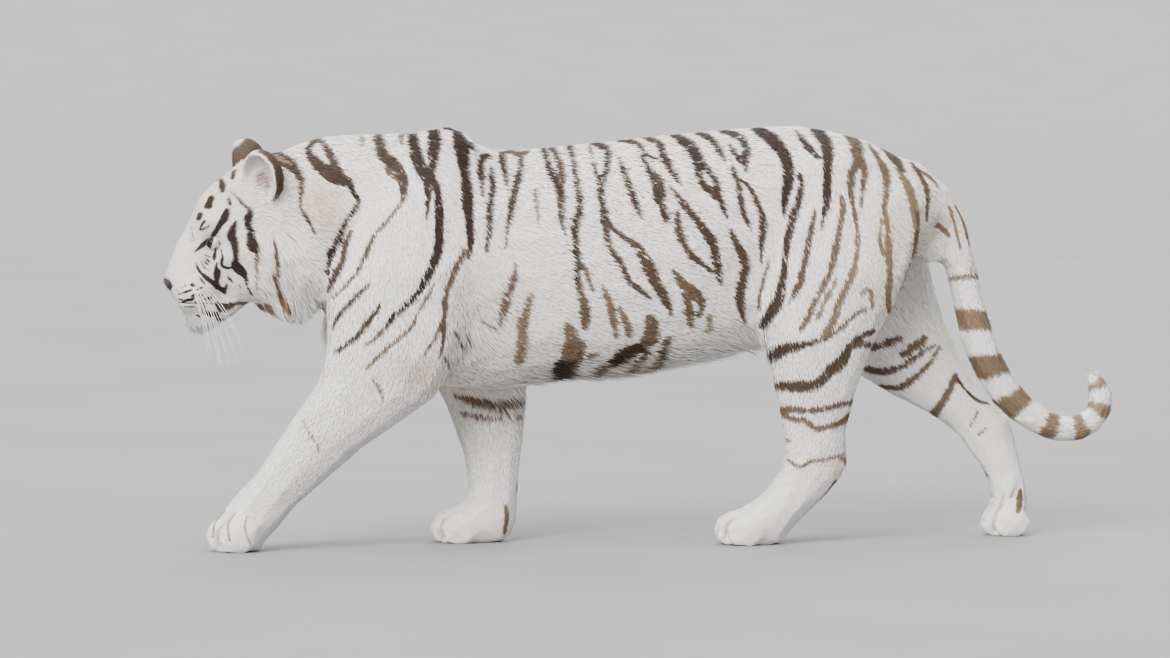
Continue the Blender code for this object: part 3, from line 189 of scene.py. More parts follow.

# ---------------------------------------------------------------- stripes and painted shade

# Side of the body, stripes and a few strokes of painted shade: how pale the brown is (0 dark to 1 pale),
# then x, z and half width at each point, in millimetres. x and z are seen from the camera on the upright
# plane y = SIDE_PLANE.
SIDE_PLANE = -0.19
SIDE_LEAN = (-0.158, 0.053)   # how far x and z move on that plane for each metre behind it
THINNEST = 0.8                # least half width of a stroke, millimetres
STRIPE_SWELL = 0.0007         # added to the half width of the strokes on the body's side
SIDE_STRIPES_AND_SHADE = [
    # neck
    (0.12, (-924, 948, 5), (-912, 952, 6), (-895, 948, 6), (-874, 936, 6), (-858, 922, 6), (-846, 900, 7),
     (-839, 879, 7), (-841, 846, 4), (-842, 823, 4), (-834, 804, 4), (-820, 783, 3.5), (-806, 755, 2)),
    (0.15, (-922, 944, 6), (-905, 928, 6), (-881, 919, 6), (-863, 910, 6), (-850, 888, 5)),
    (0.85, (-910, 940, 6), (-890, 934, 6), (-868, 922, 5)),
    (0.10, (-806, 990, 5), (-826, 950, 9), (-800, 922, 13), (-780, 900, 14), (-752, 886, 15),
     (-724, 876, 11)),
    (0.15, (-804, 984, 5), (-776, 952, 9), (-762, 922, 11), (-748, 898, 10)),
    (0.05, (-726, 876, 10), (-714, 852, 7), (-705, 826, 6), (-733, 783, 6), (-748, 750, 8),
     (-766, 712, 9), (-779, 662, 5)),
    (0.15, (-720, 763, 4), (-734, 725, 7), (-741, 693, 9), (-759, 656, 9), (-774, 622, 5)),
    (0.12, (-660, 990, 11), (-650, 950, 14), (-632, 930, 13), (-614, 914, 14), (-598, 884, 12),
     (-594, 855, 9)),
    (0.25, (-594, 855, 8), (-597, 835, 5), (-614, 810, 4), (-640, 778, 3.5), (-664, 751, 4),
     (-684, 706, 5), (-705, 665, 4.5), (-735, 630, 3.5), (-763, 605, 2.5)),
    (0.30, (-640, 930, 8), (-628, 900, 7), (-612, 885, 5)),
    (0.45, (-700, 985, 5), (-696, 965, 3)),
    (0.25, (-604, 990, 6), (-602, 966, 3)),
    # withers and shoulder
    (0.05, (-580, 1000, 13), (-568, 952, 15), (-559, 918, 15), (-541, 890, 15), (-535, 857, 9),
     (-536, 824, 5), (-541, 790, 2)),
    (0.05, (-530, 1020, 17), (-523, 980, 17), (-525, 947, 15), (-526, 914, 10), (-535, 890, 9)),
    (0.05, (-523, 892, 4), (-514, 848, 9), (-510, 800, 10), (-510, 753, 11), (-512, 716, 11),
     (-523, 683, 10), (-540, 645, 9), (-563, 612, 8), (-597, 574, 7), (-620, 556, 8), (-635, 534, 5)),
    (0.45, (-635, 534, 5), (-663, 508, 4), (-687, 490, 2)),
    (0.05, (-457, 1015, 22), (-457, 975, 22), (-454, 933, 17), (-450, 900, 12), (-443, 872, 10),
     (-439, 824, 12), (-436, 763, 10), (-436, 725, 8), (-441, 697, 3)),
    (0.10, (-454, 890, 8), (-452, 848, 6), (-454, 810, 2)),
    (0.10, (-434, 996, 9), (-438, 960, 9)),
    (0.10, (-393, 938, 5), (-408, 936, 9), (-411, 888, 8), (-408, 843, 3)),
    (0.10, (-389, 914, 3), (-384, 876, 8), (-388, 829, 9), (-391, 782, 8), (-392, 744, 6),
     (-398, 706, 3)),
    (0.10, (-363, 942, 9), (-355, 905, 8), (-350, 862, 3)),
    (0.10, (-316, 935, 6), (-320, 890, 9), (-334, 843, 10), (-341, 800, 7), (-348, 763, 5),
     (-353, 720, 2)),
    (0.25, (-350, 953, 5), (-325, 944, 6), (-300, 950, 5)),
    (0.60, (-281, 857, 3), (-277, 815, 4), (-273, 777, 2)),
    (0.35, (-450, 716, 5), (-466, 678, 8), (-483, 640, 6), (-495, 598, 6), (-498, 551, 5), (-500, 504, 5),
     (-507, 466, 3)),
    (0.45, (-490, 580, 3), (-509, 532, 4), (-521, 504, 3), (-545, 470, 2)),
    (0.50, (-523, 635, 3), (-535, 607, 5), (-556, 574, 4), (-573, 537, 4), (-597, 513, 4), (-625, 490, 4),
     (-653, 466, 4), (-682, 437, 3)),
    (0.15, (-675, 636, 4), (-706, 607, 5), (-734, 579, 5), (-753, 556, 4), (-763, 532, 2)),
    (0.15, (-649, 589, 3), (-663, 565, 4), (-687, 537, 7), (-706, 511, 6), (-730, 494, 6),
     (-758, 475, 4)),
    # elbow: short strokes of painted shadow between clumps of hair
    (0.35, (-474, 525, 2), (-462, 500, 3), (-450, 476, 2)),
    (0.35, (-404, 545, 2), (-388, 533, 3), (-370, 528, 1)),
    (0.40, (-498, 462, 2), (-486, 440, 3), (-482, 425, 1)),
    (0.40, (-446, 512, 2), (-438, 490, 2)),
    (0.40, (-327, 683, 3), (-332, 645, 8), (-348, 602, 9), (-360, 560, 9), (-370, 537, 4)),
    (0.60, (-291, 612, 4), (-298, 579, 9), (-312, 537, 13), (-312, 494, 13), (-321, 452, 12)),
    (0.75, (-836, 318, 1.5), (-822, 290, 2), (-802, 262, 2), (-796, 235, 1)),
    (0.65, (-665, 410, 3), (-650, 385, 4), (-642, 360, 2)),
    # painted shade in the creases between the toes of the near forepaw
    (1.00, (-1025, 102, 1), (-1047, 74, 1.8), (-1051, 41, 1.4)),
    (1.00, (-997, 97, 1), (-1014, 69, 1.8), (-1009, 33, 1.6)),
    (1.00, (-969, 90, 0.8), (-973, 59, 1.4), (-959, 23, 1.2)),
    # ribs and flank
    (0.05, (-264, 962, 7), (-245, 902, 9), (-233, 870, 9), (-221, 850, 10)),
    (0.20, (-243, 962, 9), (-222, 920, 8), (-217, 888, 9), (-221, 855, 11), (-218, 817, 9),
     (-217, 780, 6), (-209, 750, 2)),
    (0.10, (-200, 966, 9), (-191, 935, 6), (-185, 888, 7), (-177, 840, 9), (-176, 808, 9), (-185, 765, 9),
     (-182, 713, 8), (-180, 675, 8), (-180, 642, 8)),
    (0.35, (-180, 642, 8), (-168, 600, 12), (-161, 560, 13), (-160, 530, 9)),
    (0.40, (-170, 680, 5), (-160, 660, 6), (-144, 618, 5)),
    (0.10, (-150, 962, 4), (-139, 912, 5), (-127, 874, 8)),
    (0.10, (-150, 972, 5), (-112, 958, 9), (-107, 926, 8), (-115, 888, 8), (-125, 855, 10),
     (-120, 817, 10), (-113, 784, 12)),
    (0.20, (-113, 784, 11), (-110, 750, 9), (-98, 713, 7), (-72, 675, 7), (-55, 637, 8), (-28, 616, 7),
     (-4, 597, 3)),
    (0.20, (-110, 778, 8), (-92, 762, 5), (-67, 741, 6), (-33, 718, 10), (-14, 680, 15), (10, 633, 14),
     (29, 600, 12), (46, 562, 5)),
    (0.10, (-79, 934, 4), (-62, 879, 8), (-45, 836, 9), (-26, 786, 4)),
    (0.10, (-96, 979, 3), (-48, 974, 6), (-28, 962, 7), (-14, 940, 5), (12, 930, 2)),
    (0.10, (-24, 938, 5), (-6, 898, 8), (6, 868, 8), (12, 838, 9), (24, 812, 9), (34, 780, 5)),
    (0.15, (0, 896, 6), (22, 872, 7), (26, 836, 6)),
    (0.10, (-30, 988, 4), (15, 970, 9), (29, 936, 10), (49, 898, 8), (70, 866, 2)),
    (0.15, (44, 862, 3), (68, 831, 8), (97, 794, 9), (125, 760, 10), (147, 723, 12), (157, 675, 11),
     (165, 630, 5)),
    (0.20, (60, 800, 7), (63, 760, 9), (82, 713, 9), (111, 685, 7), (144, 660, 5)),
    (0.05, (50, 992, 9), (92, 960, 15), (113, 921, 15), (114, 900, 12)),
    (0.10, (112, 898, 9), (116, 878, 9), (135, 857, 8), (157, 836, 8)),
    (0.10, (118, 916, 9), (135, 902, 8), (154, 874, 8), (159, 846, 9), (169, 817, 7), (182, 786, 2)),
    (0.10, (106, 995, 5), (140, 980, 9), (159, 955, 8), (175, 924, 2)),
    (0.10, (165, 998, 4), (207, 986, 10), (228, 959, 9), (227, 931, 10), (226, 898, 4)),
    (0.10, (188, 964, 3), (202, 938, 7), (220, 920, 8)),
    (0.15, (195, 907, 5), (207, 869, 8), (214, 831, 8), (222, 794, 7), (239, 758, 2)),
    (0.15, (212, 878, 4), (234, 862, 6), (250, 831, 7), (267, 789, 9), (267, 751, 9), (264, 713, 5),
     (265, 680, 2)),
    (0.20, (188, 758, 5), (207, 718, 11), (226, 675, 12), (219, 637, 12), (212, 595, 13), (222, 545, 5)),
    (0.30, (282, 685, 3), (272, 647, 4), (262, 609, 4), (258, 571, 3)),
    # belly
    (0.35, (51, 663, 4), (77, 628, 12), (106, 604, 14), (121, 582, 9), (111, 558, 8)),
    (0.35, (82, 606, 10), (89, 566, 10), (92, 533, 9)),
    (0.50, (-120, 630, 3), (-105, 590, 10), (-93, 543, 9), (-86, 505, 5)),
    (0.55, (-80, 574, 6), (-60, 533, 10), (-57, 508, 7)),
    (0.50, (-201, 532, 10), (-192, 495, 20), (-200, 465, 20)),
    (0.10, (-204, 455, 18), (-216, 430, 24), (-225, 400, 20)),
    (0.35, (-168, 486, 9), (-187, 440, 13), (-200, 412, 12)),
    (0.40, (-5, 548, 12), (0, 514, 21), (-15, 490, 13)),
    (0.10, (-15, 486, 12), (-48, 472, 15), (-76, 457, 17), (-96, 443, 10)),
    (0.45, (-96, 443, 10), (-125, 426, 9), (-150, 405, 8)),
    (0.40, (38, 502, 8), (29, 472, 12), (14, 438, 13), (-5, 410, 12)),
    (0.25, (-10, 467, 8), (-29, 448, 8), (-45, 425, 8)),
    (0.65, (-134, 467, 5), (-158, 455, 4)),
    (0.75, (140, 552, 7), (135, 518, 5)),
    # rump and thigh
    (0.05, (250, 1003, 10), (287, 982, 16), (312, 952, 16), (327, 923, 15), (331, 890, 14),
     (325, 856, 13), (319, 823, 9), (320, 792, 3)),
    (0.10, (355, 896, 3), (363, 866, 7), (353, 823, 9), (338, 780, 10), (329, 737, 9), (322, 699, 7),
     (319, 660, 8), (312, 627, 10), (307, 594, 14), (292, 565, 14), (270, 534, 12)),
    (0.10, (350, 999, 3), (375, 961, 9), (403, 931, 5)),
    (0.25, (394, 806, 3), (385, 761, 7), (377, 718, 8), (368, 675, 8), (358, 637, 9), (343, 603, 7),
     (331, 587, 2)),
    (0.08, (400, 1002, 16), (421, 971, 16), (426, 933, 13), (424, 885, 11), (424, 842, 11), (419, 804, 7),
     (408, 764, 2)),
    (0.40, (458, 839, 4), (462, 809, 8), (455, 766, 7), (446, 723, 9), (436, 680, 8), (421, 637, 8),
     (399, 598, 7), (382, 560, 7), (362, 522, 7)),
    (0.30, (478, 985, 9), (499, 961, 16), (496, 923, 12), (484, 890, 11), (482, 851, 8), (487, 813, 6),
     (494, 775, 5)),
    (0.60, (494, 775, 5), (497, 737, 5), (494, 689, 6), (484, 651, 8), (465, 613, 8), (448, 570, 9),
     (431, 527, 9), (412, 500, 6)),
    (0.70, (446, 640, 4), (420, 590, 5), (400, 548, 5)),
    (0.35, (506, 936, 8), (516, 894, 8), (510, 851, 6), (506, 813, 3)),
    (0.40, (530, 962, 5), (555, 923, 7), (570, 885, 11), (567, 842, 9), (562, 799, 7)),
    (0.65, (562, 799, 7), (572, 761, 6), (572, 732, 9), (574, 689, 9), (577, 646, 8), (572, 603, 8),
     (577, 556, 4)),
    (0.70, (558, 780, 5), (550, 737, 4), (562, 699, 6)),
    (0.20, (565, 960, 7), (594, 928, 11), (613, 900, 5)),
    (0.60, (597, 906, 4), (618, 871, 9), (635, 828, 11), (643, 775, 9), (643, 727, 5), (635, 684, 4),
     (618, 637, 5), (606, 603, 3)),
    (0.30, (636, 920, 5), (657, 885, 6), (672, 856, 7), (672, 818, 5), (669, 780, 2)),
    (0.55, (647, 904, 4), (682, 885, 4), (701, 861, 2)),
    # tail's root
    (0.60, (700, 768, 6), (716, 758, 7), (728, 745, 3)),
    (0.75, (730, 812, 3), (745, 757, 3), (757, 713, 3)),
    (0.75, (742, 820, 2), (765, 775, 3), (778, 725, 2)),
    # hind leg
    (0.15, (280, 448, 11), (312, 469, 15), (351, 481, 11), (385, 489, 8), (419, 498, 6)),
    (0.45, (419, 498, 6), (448, 517, 4), (477, 541, 5), (506, 568, 5)),
    (0.65, (460, 520, 4), (487, 551, 5), (516, 565, 4)),
    (0.65, (505, 600, 3), (518, 613, 5), (531, 606, 5), (534, 572, 4)),
    (0.20, (300, 384, 9), (331, 386, 14), (370, 384, 14), (404, 393, 13), (428, 417, 14), (458, 441, 15),
     (477, 474, 10), (501, 498, 9), (536, 515, 7)),
    (0.30, (490, 478, 6), (512, 484, 7), (545, 480, 6)),
    (0.40, (306, 327, 9), (346, 329, 8), (385, 326, 7), (424, 331, 7), (458, 340, 7), (492, 345, 6)),
    (0.50, (315, 315, 4), (346, 305, 6), (375, 300, 6), (399, 283, 7), (433, 288, 7), (467, 300, 7),
     (488, 320, 6)),
    (0.70, (321, 257, 3), (341, 252, 2)),
    (0.55, (332, 208, 3), (360, 191, 4), (385, 204, 4), (419, 208, 4), (448, 214, 3), (470, 221, 2)),
    (0.65, (455, 212, 3), (480, 196, 7), (472, 165, 4)),
    (0.80, (448, 155, 3), (415, 110, 3), (390, 85, 2)),
]
# Far legs, seen past the near ones, on the same plane.
FAR_STRIPES = [
    (0.50, (-480, 370, 4), (-455, 361, 8), (-420, 350, 12), (-360, 343, 12), (-300, 353, 9)),
    (0.55, (-470, 326, 3), (-440, 320, 6), (-390, 312, 6), (-305, 317, 5)),
    (0.55, (-324, 158, 3), (-321, 146, 7), (-325, 134, 4)),
    (0.55, (-354, 103, 3), (-352, 70, 6), (-356, 36, 5)),
    (0.35, (545, 475, 9), (579, 486, 10), (612, 497, 7)),
    (0.45, (618, 458, 8), (640, 470, 13), (672, 495, 11)),
    (0.35, (531, 424, 8), (565, 417, 9), (604, 422, 8), (638, 441, 7), (668, 462, 7), (700, 480, 4)),
    (0.40, (565, 382, 5), (604, 376, 8), (633, 388, 10), (662, 412, 8), (686, 436, 7), (711, 474, 5)),
    (0.40, (690, 300, 14), (716, 336, 11), (735, 369, 10), (752, 405, 7)),
    (0.20, (752, 405, 4), (772, 375, 3), (800, 348, 4), (826, 337, 4), (860, 337, 3)),
    (0.65, (789, 283, 3), (806, 317, 3)),
    (0.65, (808, 260, 3), (828, 276, 3)),
    (0.45, (914, 124, 5), (912, 98, 9), (906, 72, 5)),
    (0.60, (818, 178, 2), (832, 158, 3)),
]
# Side of the head, stripes and painted shadow at the corner of the mouth: s and t in its own frame,
# likewise.
HEAD_STRIPES_AND_SHADE = [
    # crown and forehead
    (0.15, (68, 214, 7), (71, 202, 9), (78, 190, 6)),
    (0.15, (31, 212, 7), (43, 202, 6)),
    (0.10, (110, 188, 9), (123, 177, 10)),
    (0.15, (149, 170, 6), (157, 163, 7)),
    (0.10, (170, 137, 3.2), (161, 133, 3.6), (147, 132, 2.6)),
    (0.10, (166, 140, 3), (154, 146, 4), (148, 149, 2.5)),
    (0.20, (77, 162, 6), (81, 151, 6)),
    (0.10, (183, 153, 1.6), (184, 151, 1.6)),
    (0.45, (186, 145, 0.8), (191, 134, 1.1), (191, 124, 0.8)),
    (0.45, (200, 130, 0.8), (196, 121, 0.9)),
    # temple and cheek
    (0.05, (93, 142, 6), (107, 131, 10), (124, 122, 8), (139, 113, 5.6), (152, 108, 4.8),
     (161, 104, 2.3)),
    (0.15, (64, 178, 2), (59, 153, 3), (56, 132, 4), (51, 112, 5)),
    (0.05, (53, 107, 7), (62, 100, 10), (73, 88, 9), (78, 68, 9), (90, 48, 12), (94, 32, 12),
     (94, 13, 6)),
    (0.40, (94, 13, 6), (110, -4, 4), (124, -28, 3), (144, -60, 2)),
    (0.05, (95, 105, 5), (110, 93, 9), (119, 85, 12), (123, 65, 9), (131, 45, 8), (144, 28, 8),
     (151, 14, 13), (148, -3, 11), (148, -20, 7), (153, -31, 5), (157, -39, 3), (159, -49, 2.6),
     (160, -60, 3.2), (160, -68, 1.8)),
    (0.05, (157, 69, 1.6), (161, 58, 2.6), (165, 48, 3.7), (174, 39, 3.6), (175, 30, 3.5), (166, 20, 3.4),
     (152, 14, 4)),
    # round the eye
    (0.05, (157, 105, 3), (166, 107, 3.6), (174, 104, 4.6)),
    (0.10, (168, 106, 3), (175, 104, 5.5), (185, 102, 6), (195, 100, 4.4), (206, 98, 1.5)),
    (0.30, (193, 96, 1.6), (203, 97, 1.3), (215, 98, 0.8)),
    (0.10, (163, 80, 1.6), (171, 71, 3.2), (178, 63, 4.8), (183, 56, 1.9)),
    (0.50, (149, 89, 1.3), (152, 80, 1.8)),
    (0.10, (193, 78, 1.2), (190, 73, 2.2), (187, 68, 2)),
    (0.10, (197, 69, 1.5), (195, 63, 2.7), (194, 56, 1.5)),
    (0.10, (203, 66, 1.5), (202, 59, 2.6), (200, 54, 1.6)),
    (0.20, (208, 70, 1.2), (211, 60, 1.8), (212, 51, 1.7)),
    (0.40, (210, 52, 1), (208, 41, 1.2)),
    (0.05, (220, 75, 1.3), (224, 62, 2.9), (225, 48, 3.9), (222, 34, 4.8), (219, 20, 6), (215, 7, 6.8),
     (214, -5, 6.4)),
    (0.10, (233, 42, 1.5), (233, 31, 2.8), (232, 19, 1.6)),
    (0.05, (182, 46, 1.8), (190, 37, 4.5), (194, 27, 8.6), (202, 16, 7.7), (208, 6, 6.8), (211, -6, 6.8),
     (208, -17, 6), (208, -26, 2.2)),
    (0.05, (191, -7, 1.8), (198, -15, 3.5), (206, -21, 3.9)),
    (0.05, (180, 5, 1.3), (180, -5, 3.5), (179, -15, 1.6)),
    (0.30, (169, -28, 1.9), (172, -36, 2.2)),
    # whisker pad
    (0.05, (257, 34, 5.6), (255, 32, 5.6)),
    (0.15, (272, 44, 2.1), (271, 42, 2.1)),
    (0.20, (282, 45, 1.5), (281, 44, 1.5)),
    (0.05, (296, 35, 1.2), (285, 32, 2), (275, 29, 3.1), (264, 26, 2.7)),
    (0.05, (256, 19, 1.8), (246, 17, 3.1), (240, 15, 1.5)),
    (0.10, (272, 12, 4), (264, 13, 3.1)),
    (0.10, (262, 5, 3.1), (258, 5, 2.8)),
    (0.20, (253, 1, 1.8), (249, 0, 1.5)),
    (0.10, (304, 27, 1.2), (296, 19, 2.3)),
    (0.05, (297, 13, 3.3), (287, 11, 4.2), (277, 6, 3.7), (270, 7, 1.8)),
    (0.20, (274, -3, 2.5), (272, -4, 2.2)),
    (0.30, (301, 1, 1.2), (292, -5, 2), (283, -11, 1.5)),
    # corner of the mouth: black lip skin, with painted shadow in the corner
    (0.05, (253, -11, 3.6), (246, -14, 4.4), (240, -16, 3.8)),
    (0.05, (264, -20, 3.6), (270, -27, 6), (276, -34, 5.8)),
    (0.05, (268, -42, 6.2), (260, -51, 7.4), (250, -58, 6.8)),
    (0.05, (257, -66, 5.8), (251, -74, 4.6)),
    (0.15, (238, -36, 4.8), (234, -52, 12), (221, -56, 10.5), (208, -60, 4.6)),
    (0.20, (290, -31, 2.4), (287, -37, 3)),
    (0.55, (206, -60, 4), (189, -69, 4.8), (174, -86, 3.9)),
    (0.75, (174, -88, 4), (170, -100, 7), (170, -120, 7)),
    # ruff and behind the ear
    (0.35, (44, 20, 3), (57, -2, 5), (66, -25, 5), (78, -43, 6), (94, -61, 7), (106, -90, 5),
     (113, -111, 5)),
    (0.70, (115, -124, 9), (115, -148, 9)),
    (0.75, (149, -104, 7), (149, -125, 8)),
    (0.08, (-62, 150, 8), (-58, 128, 16), (-53, 106, 21), (-48, 88, 19), (-44, 72, 9)),
    (0.50, (-40, 59, 3), (-34, 26, 4), (-32, -18, 2)),
    (0.65, (15, 13, 2), (4, -21, 3), (-7, -45, 2)),
]
# Tail rings: share of the tail's length, half width in millimetres, how pale, slant.
TAIL_RINGS = [(0.196, 7, 0.60, 0.9), (0.222, 6, 0.95, 0.7), (0.250, 7, 0.55, 0.4),
              (0.372, 27, 0.62, 0.8), (0.508, 29, 0.52, 0.8), (0.630, 27, 0.58, 0.6),
              (0.750, 19, 0.68, 0.3), (0.836, 16, 0.82, 0.0), (0.912, 15, 0.85, 0.0),
              (0.985, 12, 0.80, 0.0)]
RING_LEAN = 0.4               # how far a ring of slant 1 leans, for each metre behind the middle line
EAR_BACK = 0.20               # how pale the back of an ear is
EAR_SPOT = (-0.092, 0.150)    # pale spot on the back of an ear: s, t
EAR_SPOT_REACH = 0.012
# Brown hair low in the cup of an ear, darkened by painted shade, most where the cup is deepest: place
# (s, |y|, t), reach, strength, how pale.
EAR_SHADES = [((-0.021, 0.108, 0.140), (0.026, 0.024, 0.036), 0.85, 0.90),
              ((-0.017, 0.109, 0.128), (0.010, 0.020, 0.013), 1.00, 0.15)]
# Cream patches: x, z, reach, strength, on the side plane.
CREAM = [(-0.800, 0.840, 0.055, 0.62), (-0.775, 0.770, 0.050, 0.50), (-0.560, 0.420, 0.050, 0.70),
         (-0.420, 0.610, 0.060, 0.55), (-0.430, 0.470, 0.050, 0.45), (-0.280, 0.450, 0.080, 0.35),
         (-0.060, 0.430, 0.060, 0.55), (0.600, 0.740, 0.080, 0.45), (0.560, 0.600, 0.060, 0.45),
         (0.700, 0.770, 0.050, 0.35), (-0.440, 0.360, 0.050, 0.30), (0.450, 0.200, 0.040, 0.45)]


def srgb(red, green, blue):
    """Linear colour, with alpha, from everyday 0-255 values."""
    return tuple((c / 255 / 12.92) if c <= 10 else ((c / 255 + 0.055) / 1.055) ** 2.4
                 for c in (red, green, blue)) + (1.0,)


WHITE = srgb(240, 238, 232)
WARM = srgb(206, 190, 160)
DARK = srgb(28, 19, 16)
PALE = srgb(150, 124, 96)
RIM = srgb(18, 13, 12)
LEATHER = srgb(74, 54, 56)

# ---------------------------------------------------------------- arrays and meshes


def unit(a):
    return a / np.maximum(np.linalg.norm(a, axis=-1, keepdims=True), 1e-9)


def along_surface(flow, normals):
    """Unit directions of the flow within the surface."""
    return unit(flow - (flow * normals).sum(1, keepdims=True) * normals)


def folded(points):
    """The points with the right side laid on the left."""
    points = points.copy()
    points[:, 1] = np.abs(points[:, 1])
    return points


def nearness(points, spot, reach):
    """1 at the spot, and less the more reaches away a point is."""
    return np.exp(-(((points - spot) / reach) ** 2).sum(1))


def ramp(x, low, high):
    """Smooth rise from 0 at low to 1 at high."""
    u = np.clip((x - low) / (high - low), 0.0, 1.0)
    return u * u * (3.0 - 2.0 * u)


# Large odd numbers that scatter the cells of the noise.
SCATTER = np.array((374761393, 668265263, 1274126177))
SCATTER_SEED = 974711


def noise(points, size, seed=0):
    """Smooth noise from -1 to 1 with features of this size."""
    q = points / size + 50.0
    cell = np.floor(q).astype(np.int64)
    part = q - cell
    part = part * part * (3.0 - 2.0 * part)
    total = np.zeros(len(points))
    for corner in range(8):
        step = np.array([(corner >> k) & 1 for k in range(3)])
        h = (cell + step) @ SCATTER + seed * SCATTER_SEED
        h = (h ^ (h >> 13)) * SCATTER[2]
        h = (h ^ (h >> 16)) & 0xFFFF
        total += (h / 32767.5 - 1.0) * np.prod(np.where(step, part, 1.0 - part), axis=1)
    return total


def mesh_arrays(mesh):
    points = np.empty(len(mesh.vertices) * 3, np.float32)
    mesh.vertices.foreach_get("co", points)
    mesh.calc_loop_triangles()
    tris = np.empty(len(mesh.loop_triangles) * 3, np.int32)
    mesh.loop_triangles.foreach_get("vertices", tris)
    return points.reshape(-1, 3).astype(float), tris.reshape(-1, 3).astype(np.int64)


def mesh_object(name, points, tris, material=None):
    mesh = bpy.data.meshes.new(name)
    mesh.vertices.add(len(points))
    mesh.vertices.foreach_set("co", np.asarray(points, np.float32).ravel())
    mesh.loops.add(3 * len(tris))
    mesh.loops.foreach_set("vertex_index", np.asarray(tris, np.int32).ravel())
    mesh.polygons.add(len(tris))
    mesh.polygons.foreach_set("loop_start", np.arange(0, 3 * len(tris), 3, dtype=np.int32))
    mesh.polygons.foreach_set("use_smooth", np.ones(len(tris), bool))
    mesh.update(calc_edges=True)
    if material is not None:
        mesh.materials.append(material)
    thing = bpy.data.objects.new(name, mesh)
    bpy.context.scene.collection.objects.link(thing)
    return thing


def paint(thing, name, values):
    """Store one colour for each vertex."""
    data = np.ones((len(values), 4), np.float32)
    data[:, :values.shape[1]] = values
    layer = thing.data.color_attributes.new(name, "FLOAT_COLOR", "POINT")
    layer.data.foreach_set("color", data.ravel())


def worked(thing, kind, **settings):
    """Arrays of a mesh after one modifier; the object goes away."""
    modifier = thing.modifiers.new(kind.lower(), kind)
    for key, value in settings.items():
        setattr(modifier, key, value)
    graph = bpy.context.evaluated_depsgraph_get()
    points, tris = mesh_arrays(thing.evaluated_get(graph).to_mesh())
    thing.evaluated_get(graph).to_mesh_clear()
    mesh = thing.data
    bpy.data.objects.remove(thing)
    bpy.data.meshes.remove(mesh)
    return points, tris


def surface_of(points, tris):
    return BVHTree.FromPolygons(points.tolist(), tris.tolist())


def joined(meshes):
    """Points and triangles of several meshes as one, and which mesh each triangle is from."""
    points, tris, owners, count = [], [], [], 0
    for index, (p, t) in enumerate(meshes):
        points.append(p)
        tris.append(t + count)
        owners.append(np.full(len(t), index))
        count += len(p)
    return np.concatenate(points), np.concatenate(tris), np.concatenate(owners)


def nearest_mesh(places, meshes):
    """Which of the meshes lies nearest to each place."""
    points, tris, owners = joined(meshes)
    source = surface_of(points, tris)
    return owners[[source.find_nearest(p)[2] for p in places.tolist()]]


def face_normals(points, tris):
    a, b, c = (points[tris[:, k]] for k in range(3))
    return np.cross(b - a, c - a)


def facing(points, tris, outward):
    """The triangles, turned over if they don't face outward."""
    return tris if (face_normals(points, tris) * outward).sum() >= 0 else tris[:, ::-1]


def grid(columns, rows, closed):
    """Triangles of a grid of rows by columns, wrapped round when closed."""
    faces = []
    for r in range(rows - 1):
        for c in range(columns if closed else columns - 1):
            a, b = r * columns + c, r * columns + (c + 1) % columns
            faces += [(a, b, b + columns), (a, b + columns, a + columns)]
    return np.array(faces)


def normals_of(points, tris):
    faces = face_normals(points, tris)
    total = np.zeros_like(points)
    for k in range(3):
        for axis in range(3):
            total[:, axis] += np.bincount(tris[:, k], faces[:, axis], len(points))
    return unit(total)


class Net:
    """Neighbours of a mesh's vertices."""

    def __init__(self, tris, count):
        pairs = np.concatenate([tris[:, [0, 1]], tris[:, [1, 2]], tris[:, [2, 0]]])
        pairs.sort(axis=1)
        keys = np.unique(pairs[:, 0] * count + pairs[:, 1])
        self.a, self.b, self.count = keys // count, keys % count, count
        self.ends = np.concatenate([self.a, self.b])
        self.others = np.concatenate([self.b, self.a])
        self.degree = np.maximum(np.bincount(self.ends, minlength=count), 1)

    def total(self, values):
        """Sum of a number of each edge's end at its vertices, both ways."""
        return np.bincount(self.ends, values, self.count)

    def mean(self, values):
        if values.ndim == 1:
            return self.total(values[self.others]) / self.degree
        return np.stack([self.mean(values[:, k]) for k in range(values.shape[1])], axis=1)


def relax(points, net, rounds, weight):
    """Smooth the points without shrinking the shape."""
    for _ in range(rounds):
        for pull in (0.55, -0.57):
            points = points + (net.mean(points) - points) * (pull * weight)[:, None]
    return points


def spread(values, net, rounds):
    """The values blurred over the mesh."""
    for _ in range(rounds):
        values = 0.4 * values + 0.6 * net.mean(values)
    return values


# ---------------------------------------------------------------- head frame


def head_frame():
    """Matrix from the head frame to the model."""
    c, s = math.cos(HEAD_PITCH), math.sin(HEAD_PITCH)
    axes = Matrix(((-c, 0, -s), (0, -1, 0), (-s, 0, c))).transposed().to_4x4()
    turn = Euler((HEAD_ROLL, 0, HEAD_YAW)).to_matrix().to_4x4()
    return np.array(Matrix.Translation(HEAD_ORIGIN) @ turn @ axes)


HEAD = head_frame()
HEAD_TURN = HEAD[:3, :3]


def to_head(points):
    return (points - HEAD[:3, 3]) @ HEAD_TURN


def from_head(points):
    return points @ HEAD_TURN.T + HEAD[:3, 3]


def middle(node):
    """Middle of a node's box."""
    low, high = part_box(node)
    return np.array((low + high) / 2)


# Direction from the tiger to the camera.
SIGHT = np.array((math.sin(CAMERA_AZIMUTH) * math.cos(CAMERA_HEIGHT),
                  -math.cos(CAMERA_AZIMUTH) * math.cos(CAMERA_HEIGHT), math.sin(CAMERA_HEIGHT)))
HEAD_SIGHT = SIGHT @ HEAD_TURN
# Half width of the skull along s, from the CAD sections.
SKULL = np.array([(-0.06, 0.138), (0.05, 0.144), (0.10, 0.122), (0.15, 0.096), (0.19, 0.074),
                  (0.225, 0.060), (0.26, 0.055), (0.288, 0.048), (0.304, 0.036)])

# ---------------------------------------------------------------- shell of the whole body


